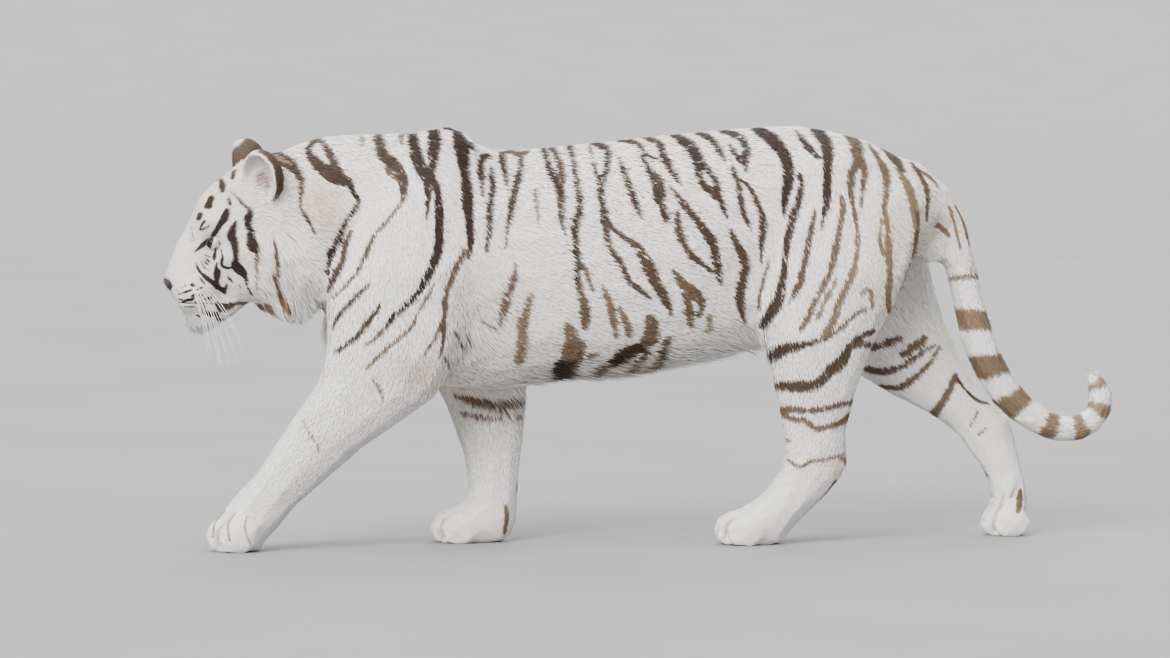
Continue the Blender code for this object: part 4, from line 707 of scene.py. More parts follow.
def node_mesh(name):
    return mesh_arrays(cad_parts[name].data)


def flesh_nodes():
    return [n for n in sorted(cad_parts) if n in COAT or n.startswith("ear")]


def claw_nodes(paw):
    return [f"claw_{paw}_{number}" for number in range(1, 5)]


def merged(points, tris):
    """The mesh with vertices at one place made one."""
    keys, back = np.unique(np.round(points / 1e-5).astype(np.int64), axis=0, return_inverse=True)
    back = back.ravel()
    tris = back[tris]
    good = (tris[:, 0] != tris[:, 1]) & (tris[:, 1] != tris[:, 2]) & (tris[:, 2] != tris[:, 0])
    return keys * 1e-5, tris[good]


# How freely the smoothing moves a node's surface; paws 0.35, all others 1.
FREEDOM = {"head": 0.75, "muzzle": 0.45, "lower_jaw": 0.6, "ear_left": 0.5, "ear_right": 0.5,
           "tail_upper": 0.8, "tail_middle": 0.8, "tail_tip": 0.7}


def grow_shell():
    """Outer surface of all the flesh as one smooth mesh."""
    names = flesh_nodes()
    meshes = []
    for name in names:
        points, tris = merged(*node_mesh(name))
        meshes.append((points + normals_of(points, tris) * SHELL_SWELL, tris))
    grain = SHELL_GRAIN
    fine, fine_tris = worked(mesh_object("rough", *joined(meshes)[:2]), "REMESH",
                             mode="VOXEL", voxel_size=grain)
    freedom = np.array([FREEDOM.get(n, 0.35 if "paw" in n else 1.0) for n in names])
    net = Net(fine_tris, len(fine))
    weight = spread(freedom[nearest_mesh(fine, meshes)], net, 8)
    return relax(fine, net, SMOOTH_ROUNDS, weight), fine_tris


def refined(points, tris, surface, wanted):
    """Split the faces where wanted(points) is true, and lay the new vertices on the surface."""
    mesh = bmesh.new()
    data = bpy.data.meshes.new("refined")
    data.from_pydata(points.tolist(), [], tris.tolist())
    mesh.from_mesh(data)
    inside = wanted(points)
    mesh.verts.ensure_lookup_table()
    edges = [e for e in mesh.edges if inside[e.verts[0].index] and inside[e.verts[1].index]]
    bmesh.ops.subdivide_edges(mesh, edges=edges, cuts=1, use_grid_fill=True)
    bmesh.ops.triangulate(mesh, faces=[f for f in mesh.faces if len(f.verts) > 3])
    mesh.to_mesh(data)
    mesh.free()
    old = len(points)
    points, tris = mesh_arrays(data)
    bpy.data.meshes.remove(data)
    for index in range(old, len(points)):
        points[index] = surface.find_nearest(points[index])[0]
    return points, tris


def on_head(p):
    h = to_head(p)
    return (h[:, 0] > 0.03) & (h[:, 0] < 0.34) & (np.abs(h[:, 1]) < 0.16) & (h[:, 2] > -0.2)


def on_face(p):
    h = to_head(p)
    return on_head(p) & (h[:, 0] > 0.13) & (h[:, 2] > -0.11)


def on_toes(p):
    found = np.zeros(len(p), bool)
    for paw in PAWS:
        found |= on_paw(p, paw) & (p[:, 0] < toes(paw)[1] + TOE_REACH + 0.01)
    return found


def body_mesh():
    """The shell at the grain the skin needs: finer at the head and finest at the face."""
    fine, fine_tris = grow_shell()
    surface = surface_of(fine, fine_tris)
    ratio = min(1.0, SKIN_TRIANGLES / len(fine_tris))
    points, tris = worked(mesh_object("fine", fine, fine_tris), "DECIMATE",
                          decimate_type="COLLAPSE", ratio=ratio)
    for wanted in (on_toes, on_head, on_face):
        points, tris = refined(points, tris, surface, wanted)
    return points, tris


# ---------------------------------------------------------------- coat of each place


def tail_places(points):
    """Share of the tail's length, its direction and the spot on its middle line."""
    line = np.array(TAIL_LINE)
    for _ in range(3):
        mid = (line[:-1] + line[1:]) / 2
        line = np.insert(line, np.arange(1, len(line)), mid, axis=0)
        line[1:-1] = line[1:-1] * 0.5 + (line[:-2] + line[2:]) * 0.25
    steps = np.linalg.norm(np.diff(line, axis=0), axis=1)
    arc = np.concatenate([[0.0], np.cumsum(steps)])
    start = arc[np.argmin(np.linalg.norm(line - np.array(TAIL_LINE[1]), axis=1))]
    nearest = np.argmin(((points[:, None, :] - line[None]) ** 2).sum(2), axis=1)
    toward = unit(np.gradient(line, axis=0))[nearest]
    share = (arc[nearest] + ((points - line[nearest]) * toward).sum(1) - start) / (arc[-1] - start)
    return share, toward, line[nearest]


def head_coat(places):
    """Flow, and length, depth and width, of the coat at places in the head frame."""
    spots = np.array([spot for spot, *_ in HEAD_COAT])
    flows = np.array([flow for _, flow, *_ in HEAD_COAT])
    sizes = np.array([row[2:] for row in HEAD_COAT])
    weight = 1.0 / (((folded(places)[:, None] - spots[None]) ** 2).sum(2) + 1e-5) ** 1.6
    weight /= weight.sum(1, keepdims=True)
    flow, size = weight @ flows, weight @ sizes
    flow[:, 1] *= np.where(places[:, 1] >= 0, 1.0, -1.0)
    return flow @ HEAD_TURN.T, size * MM


EARS = ("ear_left", "ear_right")
TAIL = ("tail_root", "tail_upper", "tail_middle", "tail_tip")
CHEEK = np.array((0.85, 0.0, -0.5))     # flow that the neck's coat runs into under the head's
RIM_HAIR = (0.0055, 0.0014, 0.0019)     # length, depth and width on the back and rim of an ear
CUP_HAIR = (0.0180, 0.0030, 0.0020)


class Coat:
    """Flow, length, depth, width and owner of the coat for each vertex of the body mesh."""

    def __init__(self, points, tris, net):
        self.names, self.tris = flesh_nodes(), tris
        self.owner = nearest_mesh(points, [node_mesh(name) for name in self.names])
        normals = normals_of(points, tris)
        out = np.sign(points[:, 1]) * ramp(np.abs(points[:, 1]), 0.0, 0.05)
        flow, size = np.zeros((len(points), 3)), np.zeros((len(points), 3))
        for name, (way, *sizes) in COAT.items():
            mine = self.of(name)
            size[mine] = np.array(sizes) * MM
            if way:
                flow[mine] = unit(np.array(way))
                flow[mine, 1] *= out[mine]
        # The tail's hair follows its line; the head starts out with one flow and size.
        tail = self.of(*TAIL)
        flow[tail] = tail_places(points[tail])[1]
        headed = self.of("head", "muzzle", "lower_jaw", *EARS)
        size[headed] = size[headed].mean(0)
        flow[headed] = unit(CHEEK)
        fields = spread(np.concatenate([flow, size], axis=1), net, BLEND_ROUNDS)
        flow, size = fields[:, :3], fields[:, 3:]
        headness = spread(headed.astype(float), net, HEAD_BLEND_ROUNDS)
        # Longer hair off the head, then the head's own coat.
        for x, y, z, reach, *more in LONGER:
            near_it = nearness(folded(points), (x, y, z), reach) * (1 - headness)
            size[:, :2] += near_it[:, None] * np.array(more) * MM
        near = headness > 0.002
        head_flow, head_size = head_coat(to_head(points)[near])
        share = headness[near][:, None]
        flow[near] = flow[near] * (1 - share) + head_flow * share
        size[near] = size[near] * (1 - share) + head_size * share
        self.ears(points, normals, flow, size, net)
        # The coat is thin under the soles. Where it would stand upright, it is turned backwards.
        soles = (points[:, 2] < 0.022) & (normals[:, 2] < -0.45)
        size[:, 1] *= 1.0 - 0.8 * spread(soles.astype(float), net, 2)
        flow = unit(flow)
        upright = ramp(np.abs((flow * normals).sum(1)), 0.80, 0.96)[:, None]
        flow = flow * (1 - upright) + np.array((1.0, 0.0, 0.0)) * upright
        self.flow = along_surface(flow, normals)
        self.length, self.depth, self.width = size.T
        self.normals = normals

    def of(self, *names):
        """Whether each vertex belongs to one of these nodes."""
        return np.isin(self.owner, [self.names.index(n) for n in names])

    def ears(self, points, normals, flow, size, net):
        """Short hair on the back and rim of the ears, long hair in the cup."""
        self.inner = np.zeros(len(points), bool)
        for name, side in zip(EARS, (1.0, -1.0)):
            mine = self.of(name)
            away = points[mine] - middle(name)
            self.inner[mine] = (away * normals[mine]).sum(1) < 0.0
            tip = unit(HEAD_TURN @ np.array((-0.25, 0.10 * side, 1.0)))
            ahead = ramp(np.abs(normals[mine] @ tip), 0.75, 0.95)[:, None]
            flow[mine] = tip * (1 - ahead) - HEAD_TURN[:, 0] * ahead
        inside = ramp(spread(self.inner.astype(float), net, 5), 0.55, 0.95)[:, None]
        mine = self.of(*EARS)
        size[mine] = (RIM_HAIR * (1 - inside) + CUP_HAIR * inside)[mine]


def curvature_along(points, normals, flow, net):
    """How much the surface bends away along the flow, 1/m."""
    a, b = net.a, net.b
    span = points[b] - points[a]
    size = np.maximum((span ** 2).sum(1), 1e-12)
    bend = ((normals[b] - normals[a]) * span).sum(1) / size
    weight_a = ((span * flow[a]).sum(1) ** 2 / size) ** 2
    weight_b = ((span * flow[b]).sum(1) ** 2 / size) ** 2
    total = np.bincount(a, weight_a * bend, net.count) + np.bincount(b, weight_b * bend, net.count)
    weight = np.bincount(a, weight_a, net.count) + np.bincount(b, weight_b, net.count)
    return spread(total / np.maximum(weight, 1e-6), net, 6)


# ---------------------------------------------------------------- markings


def line_of(stroke, rounds=2):
    """A stroke's points and half widths as a smooth line, metres."""
    rows = np.array(stroke[1:], float)
    if len(rows) < 3:
        rounds = 0
    for _ in range(rounds):
        mid = (rows[:-1] + rows[1:]) / 2
        ghost = np.concatenate([rows[:1], rows, rows[-1:]])
        mid = mid * 1.125 - (ghost[:-3] + ghost[3:]) * 0.0625
        rows = np.insert(rows, np.arange(1, len(rows)), mid, axis=0)
    rows[:, 2] = np.maximum(rows[:, 2], THINNEST)
    return rows * MM


def lay(cover, tone, some, own, pale):
    """Lay a marking over these places, where it covers more than what is there."""
    tone[some] = np.where(own > cover[some], pale, tone[some])
    cover[some] = np.maximum(own, cover[some])


def on_side_plane(p, behind):
    """Where the camera sees places on the side plane, that lie this far behind it."""
    return p[:, [0, 2]] + behind[:, None] * SIDE_LEAN


def stroked(flat, strokes, soft, bold=0.0):
    """Cover and tone that a list of strokes, widened by bold, gives to points on their plane."""
    cover, tone = np.zeros(len(flat)), np.zeros(len(flat))
    rough = noise(np.stack([flat[:, 0], flat[:, 1] * 0.6, flat[:, 0] * 0], 1), 0.009, 5)
    for stroke in strokes:
        rows = line_of(stroke)
        reach = rows[:, 2].max() + 0.006
        low, high = rows[:, :2].min(0) - reach, rows[:, :2].max(0) + reach
        index = np.nonzero(((flat > low) & (flat < high)).all(1))[0]
        if not len(index):
            continue
        p = flat[index]
        gap = np.full(len(p), 1.0)
        for a, b in zip(rows[:-1], rows[1:]):
            span = b[:2] - a[:2]
            t = np.clip(((p - a[:2]) @ span) / max(span @ span, 1e-12), 0.0, 1.0)
            away = np.linalg.norm(p - a[:2] - t[:, None] * span, axis=1)
            gap = np.minimum(gap, away - (a[2] + (b[2] - a[2]) * t) - bold)
        own = ramp(-gap - rough[index] * min(0.0016, 0.3 * rows[:, 2].mean()), -soft, soft)
        lay(cover, tone, index, own, stroke[0])
    return cover, tone


def ring_tail(cover, tone, p, some):
    """The rings of the tail in place of any other marking."""
    cover[some] = tone[some] = 0.0
    share, _, spot = tail_places(p[some])
    lean = (p[some] - spot)[:, 0] * RING_LEAN
    ragged = noise(p[some], 0.012, 6) * 0.004
    for centre, half, pale, slant in TAIL_RINGS:
        gap = np.abs((share - centre) * TAIL_LENGTH - slant * lean) - half * MM
        lay(cover, tone, some, ramp(ragged - gap, -0.003, 0.003), pale)


def mark_ears(cover, tone, p, some, inner):
    """The dark back of an ear, with its pale spot and tip."""
    q = to_head(p[some])
    back = ramp(1 - inner[some], 0.84, 0.99) * ramp(q[:, 2], 0.07, 0.11)
    back *= 1 - 0.85 * ramp(q[:, 2], 0.200, 0.216)
    cover[some] = back * (1 - nearness(q[:, [0, 2]], EAR_SPOT, EAR_SPOT_REACH))
    tone[some] = EAR_BACK


def shade_cups(cover, tone, p, some):
    """The brown hair low in the ears' cups, darkened by painted shade where the cups are deepest."""
    q = folded(to_head(p[some]))
    for spot, reach, strength, pale in EAR_SHADES:
        lay(cover, tone, some, strength * nearness(q, spot, reach), pale)


class Markings:
    """Stripes, painted shade and cream of the coat at any place on the body."""

    def __init__(self, body, coat, net):
        far = coat.of("forearm_right", "forepaw_right", "shank_right", "metatarsus_right",
                      "hindpaw_right") | (coat.of("thigh_right") & (body[:, 2] < 0.545))
        ears = coat.of(*EARS)
        # Far legs, head, tail, ears and the cups of the ears.
        self.fields = np.stack([
            spread(far.astype(float), net, 8),
            spread(coat.of("head", "muzzle", "lower_jaw").astype(float), net, 4),
            coat.of(*TAIL[1:]).astype(float),
            ears.astype(float),
            spread((ears & coat.inner).astype(float), net, 7)], axis=1)

    def side(self, p):
        """Places on the side plane; the right side mirrors the left and drifts from it."""
        drift = np.stack([noise(p, 0.11, 1), noise(p, 0.13, 2)], 1) * 0.018
        return (on_side_plane(p, -SIDE_PLANE - np.abs(p[:, 1]))
                + drift * ramp(p[:, 1], 0.01, 0.10)[:, None])

    def head(self, p):
        """Places on the plane of the head's side, as the camera sees them; the right side drifts."""
        q = to_head(p)
        wide = np.interp(q[:, 0], SKULL[:, 0], SKULL[:, 1])
        reach = (wide - np.abs(q[:, 1])) / HEAD_SIGHT[1]
        flat = np.stack([q[:, 0] + HEAD_SIGHT[0] * reach, q[:, 2] + HEAD_SIGHT[2] * reach], 1)
        drift = np.stack([noise(p, 0.07, 3), noise(p, 0.07, 4)], 1) * 0.005
        return flat + drift * ramp(-q[:, 1], 0.0, 0.05)[:, None]

    def cream(self, p):
        """How cream the ground is: the patches, and a little more up on the back."""
        flat = self.side(p)
        cream = 0.06 + 0.16 * ramp(p[:, 2], 0.55, 0.95)
        for x, z, reach, strength in CREAM:
            cream += strength * nearness(flat, (x, z), reach)
        return cream

    def __call__(self, p, fields, soft=0.0012):
        """Cover and tone of the stripes and of the painted shade, and how cream the ground is."""
        far, head, tail, ear, inner = fields.T
        cover, tone = stroked(self.side(p), SIDE_STRIPES_AND_SHADE, soft, STRIPE_SWELL)
        cover *= (1 - far) * (1 - head) * (1 - tail) * (1 - ear)
        some = far > 0.02
        own, pale = stroked(on_side_plane(p[some], p[some, 1] - SIDE_PLANE), FAR_STRIPES, soft)
        lay(cover, tone, some, own * far[some], pale)
        some = (head > 0.02) | (ear > 0.5)
        own, pale = stroked(self.head(p[some]), HEAD_STRIPES_AND_SHADE, soft)
        lay(cover, tone, some, own * head[some] * (1 - ear[some]), pale)
        ring_tail(cover, tone, p, tail > 0.5)
        mark_ears(cover, tone, p, ear > 0.5, inner)
        shade_cups(cover, tone, p, some)
        return np.stack([np.clip(cover, 0, 1), tone, np.clip(self.cream(p), 0, 1)], 1)


# ---------------------------------------------------------------- skin

# The mouth's line on the side of the head: s, t.
MOUTH = np.array([(0.200, -0.066), (0.230, -0.044), (0.262, -0.018), (0.286, 0.001), (0.306, 0.016)])
MOUTH_DEPTH = 0.0050
MOUTH_HALF = 0.0032
PHILTRUM_DEPTH = 0.0022
SOCKET_REACH = 0.0235         # radius at which an eye's socket ends
SOCKET_DEPTH = 0.0105
# Swells and hollows of the face: place (s, y, t), reach, height in millimetres.
SWELLS = [((0.272, 0.042, 0.018), 0.020, 2.5), ((0.300, 0.016, 0.024), 0.012, 2.0),
          ((0.150, 0.060, 0.112), 0.014, 3.0), ((0.185, 0.052, 0.100), 0.012, 1.5),
          ((0.205, 0.045, 0.090), 0.014, -2.5), ((0.175, 0.078, 0.040), 0.016, 1.5),
          ((0.292, 0.000, -0.050), 0.016, 1.5), ((0.240, 0.050, 0.055), 0.014, -1.2)]


def sculpted(points, normals):
    """The face's folds: mouth, philtrum, whisker pads, brows, and the eyes' sockets."""
    q = to_head(points)
    line = np.interp(q[:, 0], MOUTH[:, 0], MOUTH[:, 1])
    mouth = np.exp(-((q[:, 2] - line) / MOUTH_HALF) ** 2) * ramp(q[:, 0], 0.196, 0.212)
    split = np.exp(-(q[:, 1] / 0.0018) ** 2) * ramp(q[:, 0], 0.285, 0.295)
    split *= ramp(q[:, 2], 0.012, 0.020) * (1 - ramp(q[:, 2], 0.045, 0.052))
    height = -MOUTH_DEPTH * mouth - PHILTRUM_DEPTH * split
    for place, reach, rise in SWELLS:
        height += rise * MM * nearness(folded(q), place, reach)
    points = points + normals * height[:, None]
    push = np.zeros(len(points))
    for name in EYES:
        turn = eye_turn(name)
        local = (points - middle(name)) @ turn
        across = np.hypot(local[:, 0], local[:, 1])
        own = (1 - ramp(across, EYE_RADIUS, SOCKET_REACH)) * (np.abs(local[:, 2]) < 0.05)
        points = points - (own * SOCKET_DEPTH)[:, None] * turn[:, 2]
        push = np.maximum(push, own)
    return points, push, mouth


EYES = ("eye_left", "eye_right")
PAWS = ("forepaw_left", "forepaw_right", "hindpaw_left", "hindpaw_right")
CREASE = 0.0040              # half width of the furrow between two toes
CREASE_DEPTH = 0.0085
TOE_SWELL = 0.0022
TOE_HALF = 0.009
TOE_REACH = 0.062            # how far back from the claws the furrows run
CLAW_ROOT = 0.0100           # radius of the bald skin where a claw leaves its toe


def toes(paw):
    """Sideways places of a paw's claws, from one side to the other, and how far forward they are."""
    spots = np.array([middle(name) for name in claw_nodes(paw)])
    return np.sort(spots[:, 1]), spots[:, 0].min()


def on_paw(points, paw):
    """Whether each point lies in the box of a paw or just outside it."""
    low, high = (np.array(corner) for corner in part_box(paw))
    return ((points > low - 0.012) & (points < high + 0.012)).all(1)


def parted_toes(points, normals):
    """Furrows between the toes, with each toe rounded, and how deep in a furrow a point is."""
    height, furrow = np.zeros(len(points)), np.zeros(len(points))
    for paw in PAWS:
        across, front = toes(paw)
        near = on_paw(points, paw) * ramp(points[:, 2], 0.002, 0.012)
        near *= 1 - ramp(points[:, 0], front + 0.4 * TOE_REACH, front + TOE_REACH)
        for gap in (across[1:] + across[:-1]) / 2:
            own = near * np.exp(-((points[:, 1] - gap) / CREASE) ** 2)
            height -= CREASE_DEPTH * own
            furrow = np.maximum(furrow, own)
        for toe in across:
            height += near * TOE_SWELL * np.exp(-((points[:, 1] - toe) / TOE_HALF) ** 2)
    return points + normals * height[:, None], furrow


def near_claws(points):
    """Whether a point lies where a claw leaves its toe."""
    found = np.zeros(len(points), bool)
    for paw in PAWS:
        for name in claw_nodes(paw):
            found |= np.linalg.norm(points - middle(name), axis=1) < CLAW_ROOT
    return found


def eye_turn(name):
    """Axes of an eye as columns: along the slit to the outer corner, up, and outwards."""
    flip = 1.0 if name == "eye_left" else -1.0
    out = unit(np.array(EYE_FACING) * (1.0, flip, 1.0))
    corner = np.array((-math.cos(EYE_SLANT), 0.25 * flip, math.sin(EYE_SLANT)))
    along = unit(corner - (corner @ out) * out)
    up = np.cross(out, along)
    up *= np.sign(up[2])
    return HEAD_TURN @ np.stack([along, up, out], axis=1)


def lids(name, surface):
    """Upper and lower lid of an eye as one patch of rings, from the slit out onto the skin."""
    turn, centre = eye_turn(name), middle(name)
    angle = np.arange(LID_STEPS) * 2 * math.pi / LID_STEPS
    along, up = np.cos(angle), np.sin(angle)
    slit = np.stack([LID_HALF_WIDTH * along * (1 + 0.16 * (along < -0.8)),
                     np.where(up > 0, LID_UP, LID_DOWN) * up * np.abs(up) ** 0.15], 1)
    slit[:, 1] -= 0.0022 * np.maximum(-along, 0) ** 3
    outer = LID_REACH * np.stack([along, up], 1)
    rings = []
    for k in range(LID_RINGS):
        share = max(k - 2, 0) / (LID_RINGS - 3)
        flat = slit * LID_GROWTH[min(k, 2)] + (outer - slit * LID_GROWTH[2]) * share ** 0.9
        across = np.hypot(flat[:, 0], flat[:, 1])
        over = EYE_RADIUS + LID_OVER[min(k, 2)]
        on_ball = np.sqrt(np.maximum(over ** 2 - across ** 2, 0.0)) + 0.0006 * share
        on_skin = np.full(LID_STEPS, on_ball.min())
        for step, (u, v) in enumerate(flat):
            start = centre + turn @ np.array((u, v, 0.06))
            hit = surface.ray_cast(Vector(start), Vector(-turn[:, 2]))[0]
            if hit:
                on_skin[step] = (np.array(hit) - centre) @ turn[:, 2]
        blend = ramp(share, 0.10, 0.80)
        fold = LID_FOLD * math.exp(-((share - 0.30) / 0.10) ** 2) * np.maximum(up, -0.6 * up)
        sink = LID_SINK * max(0.0, share - 0.8) / 0.2
        out = on_ball * (1 - blend) + on_skin * blend - fold - sink
        if k > 2:
            ball = np.where(across < EYE_RADIUS, on_ball + LID_COVER, -1.0)
            beside = np.maximum(0.0, 1 - np.abs(across - EYE_RADIUS) / 0.0060) * LID_SWELL
            out = np.maximum(out + beside * (on_skin < 0.004), ball)
        rings.append(centre + np.stack([flat[:, 0], flat[:, 1], out], 1) @ turn.T)
    points, tris = np.concatenate(rings), []
    for k in range(LID_RINGS - 1):
        for i in range(LID_STEPS):
            a, b = k * LID_STEPS + i, k * LID_STEPS + (i + 1) % LID_STEPS
            tris += [(a, a + LID_STEPS, b + LID_STEPS), (a, b + LID_STEPS, b)]
    ring = np.repeat(np.arange(LID_RINGS), LID_STEPS)
    return points, facing(points, np.array(tris), turn[:, 2]), ring


LEATHER_REACH = (0.0170, 0.0265, 0.0200)    # half sizes of the bald skin under the nose leather
CHIN = (0.306, 0.0, -0.055)                 # where the hair stands out from the chin
CHIN_REACH = 0.034


def skin_fields(points, push, mouth, furrow, coat, marks, net):
    """What the coat needs to know at each vertex of the skin."""
    normals = normals_of(points, coat.tris)
    q = to_head(points)
    nose = to_head(middle("nose")[None])[0]
    leather = (((q - nose) / LEATHER_REACH) ** 2).sum(1) < 1.0
    soles = (points[:, 2] < 0.009) & (normals[:, 2] < -0.85)
    bald = (push > 0.12) | leather | soles | (mouth > 0.75) | near_claws(points)
    bend = np.clip(curvature_along(points, normals, coat.flow, net), -8.0, 40.0)
    return dict(stand=1 + nearness(q, CHIN, CHIN_REACH), furrow=furrow, flow=coat.flow,
                length=coat.length, depth=coat.depth, width=coat.width, bend=bend,
                bald=bald * 1.0, marks=marks.fields, label=labels(points, q, coat),
                bare=np.stack([mouth * 0.9, soles * 1.0, push], 1))


def lid_fields(points, tris, ring):
    """The same for the lids."""
    flow, size = head_coat(to_head(points))
    share = ramp(ring, 2.0, 6.0)
    none, rim = np.zeros(len(points)), (ring < RIM_RINGS) * 1.0
    return dict(stand=none + 1, furrow=none, flow=along_surface(flow, normals_of(points, tris)),
                length=size[:, 0] * (0.55 + 0.45 * share), depth=size[:, 1] * (0.5 + 0.5 * share),
                width=size[:, 2], bend=none + 25.0, bald=rim,
                marks=np.stack([none, none + 1, none, none, none], 1),
                label=np.full(len(points), LABELS.index("face")),
                bare=np.stack([rim, none, none], 1))


def make_skin():
    """Skin with everything the coat needs to know at each of its vertices."""
    body, tris = body_mesh()
    net = Net(tris, len(body))
    firm = np.full(len(body), 0.8)
    body = relax(body, net, 3, firm)
    coat = Coat(body, tris, net)
    marks = Markings(body, coat, net)
    inset = body - coat.normals * (INSET * spread(coat.depth, net, 2))[:, None]
    inset = relax(inset, net, 3, firm)
    surface = surface_of(inset, tris)
    inset, furrow = parted_toes(inset, normals_of(inset, tris))
    points, push, mouth = sculpted(inset, normals_of(inset, tris))
    meshes = [(points, tris)]
    parts = [skin_fields(points, push, mouth, furrow, coat, marks, net)]
    for name in EYES:
        *lid, ring = lids(name, surface)
        meshes.append(lid)
        parts.append(lid_fields(*lid, ring))
    points, tris, _ = joined(meshes)
    points[:, 2] = np.maximum(points[:, 2], 0.0006)
    return points, tris, {key: np.concatenate([p[key] for p in parts]) for key in parts[0]}, marks


# ---------------------------------------------------------------- tufts

LABELS = ["face", "head_left", "head_right", "ears", "neck_left", "neck_right", "chest_left",
          "chest_right", "belly_left", "belly_right", "rump_left", "rump_right", "foreleg_left",
          "foreleg_right", "hindleg_left", "hindleg_right", "tail"]


def labels(points, place, coat):
    """Which coat piece each vertex belongs to."""
    result = np.zeros(len(points), int)
    right = points[:, 1] > 0
    for side, here in (("left", ~right), ("right", right)):
        for kind, nodes in (("head", ("head",)), ("neck", ("neck",)), ("chest", ("chest",)),
                            ("belly", ("belly",)), ("rump", ("rump", "scrotum"))):
            result[coat.of(*nodes) & here] = LABELS.index(f"{kind}_{side}")
        for kind, nodes in (("foreleg", ("upper_arm", "forearm", "forepaw")),
                            ("hindleg", ("thigh", "shank", "metatarsus", "hindpaw"))):
            leg = coat.of(*(f"{node}_{side}" for node in nodes))
            result[leg] = LABELS.index(f"{kind}_{side}")
    result[coat.of(*TAIL)] = LABELS.index("tail")
    result[coat.of("muzzle", "lower_jaw")] = LABELS.index("face")
    result[coat.of("head") & (place[:, 0] > 0.115)] = LABELS.index("face")
    result[coat.of(*EARS)] = LABELS.index("ears")
    return result


SLICES = 20                   # of a piece, to find its middle line


def around(points, along, first, second):
    """Place along and angle around the middle line of a cloud of points, each 0 to 1."""
    share = (along - along.min()) / max(np.ptp(along), 1e-6)
    bins = np.clip((share * SLICES).astype(int), 0, SLICES - 1)
    count = np.bincount(bins, minlength=SLICES)
    some = count > 0
    spots = ((np.arange(SLICES) + 0.5) / SLICES)[some]
    centre = [np.interp(share, spots, np.bincount(bins, points[:, k], SLICES)[some] / count[some])
              for k in range(3)]
    away = points - np.stack(centre, 1)
    return share, np.arctan2(away @ second, away @ first) / (2 * math.pi) + 0.5


def unwrapped(label, points, inner):
    """Place of each tuft's root on its piece's baking map."""
    x, y, z = np.eye(3)
    out = -y if label.endswith("left") else y
    if label == "ears":
        right = points[:, 1] > 0.0
        u, v = np.zeros(len(points)), np.zeros(len(points))
        for mine in (~right, right):
            u[mine], v[mine] = around(points[mine], points[mine, 2], x, y)
        u = (u + np.where(inner > 0.5, 1.04, 0.0)) / 2.04
        v = (v + np.where(right, 1.04, 0.0)) / 2.04
    elif label == "tail":
        u, v = around(points, tail_places(points)[0], y, x)
    elif label == "face":
        u, v = around(points, to_head(points)[:, 0], HEAD_TURN[:, 2], HEAD_TURN[:, 1])
    elif label.startswith("head"):
        u, v = around(points, to_head(points)[:, 0], out, z)
    elif "leg" in label:
        u, v = around(points, points[:, 2], out, x)
    else:
        u, v = around(points, points[:, 0], out, z)
    return np.stack([u, v], 1) * 0.99 + 0.003


ROOT_DEPTH = 0.0012           # how far a tuft's root lies under the skin
LEAST_REACH = 0.45            # of a tuft that stands up, along the skin, as a share of its length
KEEL = 0.36                   # height of a ring's ridge, in half widths
ROUNDING = 0.38               # how far the normals of a tuft's edges turn sideways


def tuft_points(root, normal, flow, length, rise, width, bend, tips, rings):
    """Vertices and normals of the tufts: root, rings of three, and tip."""
    side = np.cross(normal, flow)
    reach = np.sqrt(np.maximum(length ** 2 - rise ** 2, (LEAST_REACH * length) ** 2))[:, None]
    rise, width, bend, tips = (a[:, None] for a in (rise, width, bend, tips))

    def spot(share, height):
        return root + flow * reach * share + normal * (rise * height - bend * (reach * share) ** 2 / 2)
    verts, norms = [root - normal * ROOT_DEPTH], [normal - 0.15 * flow]
    for share, height, wide in rings:
        centre, half = spot(share, height), width * 0.5 * wide
        verts += [centre + side * half, centre + normal * half * KEEL, centre - side * half]
        norms += [normal + side * ROUNDING, normal, normal - side * ROUNDING]
    verts.append(spot(1.0, tips))
    norms.append(normal + 0.10 * flow)
    return np.stack(verts, 1), unit(np.stack(norms, 1))


def tuft_faces(rings):
    """Triangles of one tuft with this many rings, and which of them are its underside."""
    faces = [(2, 1, 0), (3, 2, 0), (1, 3, 0)]
    below = [False, False, True]
    for k in range(rings - 1):
        a = 1 + 3 * k
        for i in range(3):
            p, q = a + i, a + (i + 1) % 3
            faces += [(p, q, q + 3), (p, q + 3, p + 3)]
            below += [i == 2, i == 2]
    a, tip = 1 + 3 * (rings - 1), 1 + 3 * rings
    faces += [(a, a + 1, tip), (a + 1, a + 2, tip), (a + 2, a, tip)]
    return np.array(faces), np.array(below + [False, False, True])


# Rings of a tuft: share of its reach, share of its rise, share of its width.
SHORT_RINGS = [(0.34, 0.62, 1.0)]
LONG_RINGS = [(0.22, 0.48, 1.0), (0.60, 0.86, 0.70)]


CROWDING = 0.85               # 0 spreads the roots evenly, 1 gives each as much skin as it covers


def scatter(points, tris, fields, total):
    """Tuft roots spread over the skin, denser where the hair is short, with their fields."""
    area = np.linalg.norm(face_normals(points, tris), axis=1) / 2
    cover = (fields["length"] * fields["width"])[tris].mean(1)
    weight = area / cover ** CROWDING * (fields["bald"][tris].max(1) < 0.5)
    ladder = np.cumsum(weight) / weight.sum()
    pick = np.searchsorted(ladder, (np.arange(total) + rng.random(total)) / total)
    pick = np.minimum(pick, len(tris) - 1)
    a, b = np.sqrt(rng.random(total)), rng.random(total)
    share = np.stack([1 - a, a * (1 - b), a * b], 1)
    corners = tris[pick]

    def at(values):
        return (values[corners] * share.reshape(share.shape + (1,) * (values.ndim - 1))).sum(1)
    found = {key: at(value) for key, value in fields.items() if key != "label"}
    found["label"] = fields["label"][corners[:, 0]]
    return at(points), unit(at(normals_of(points, tris))), found


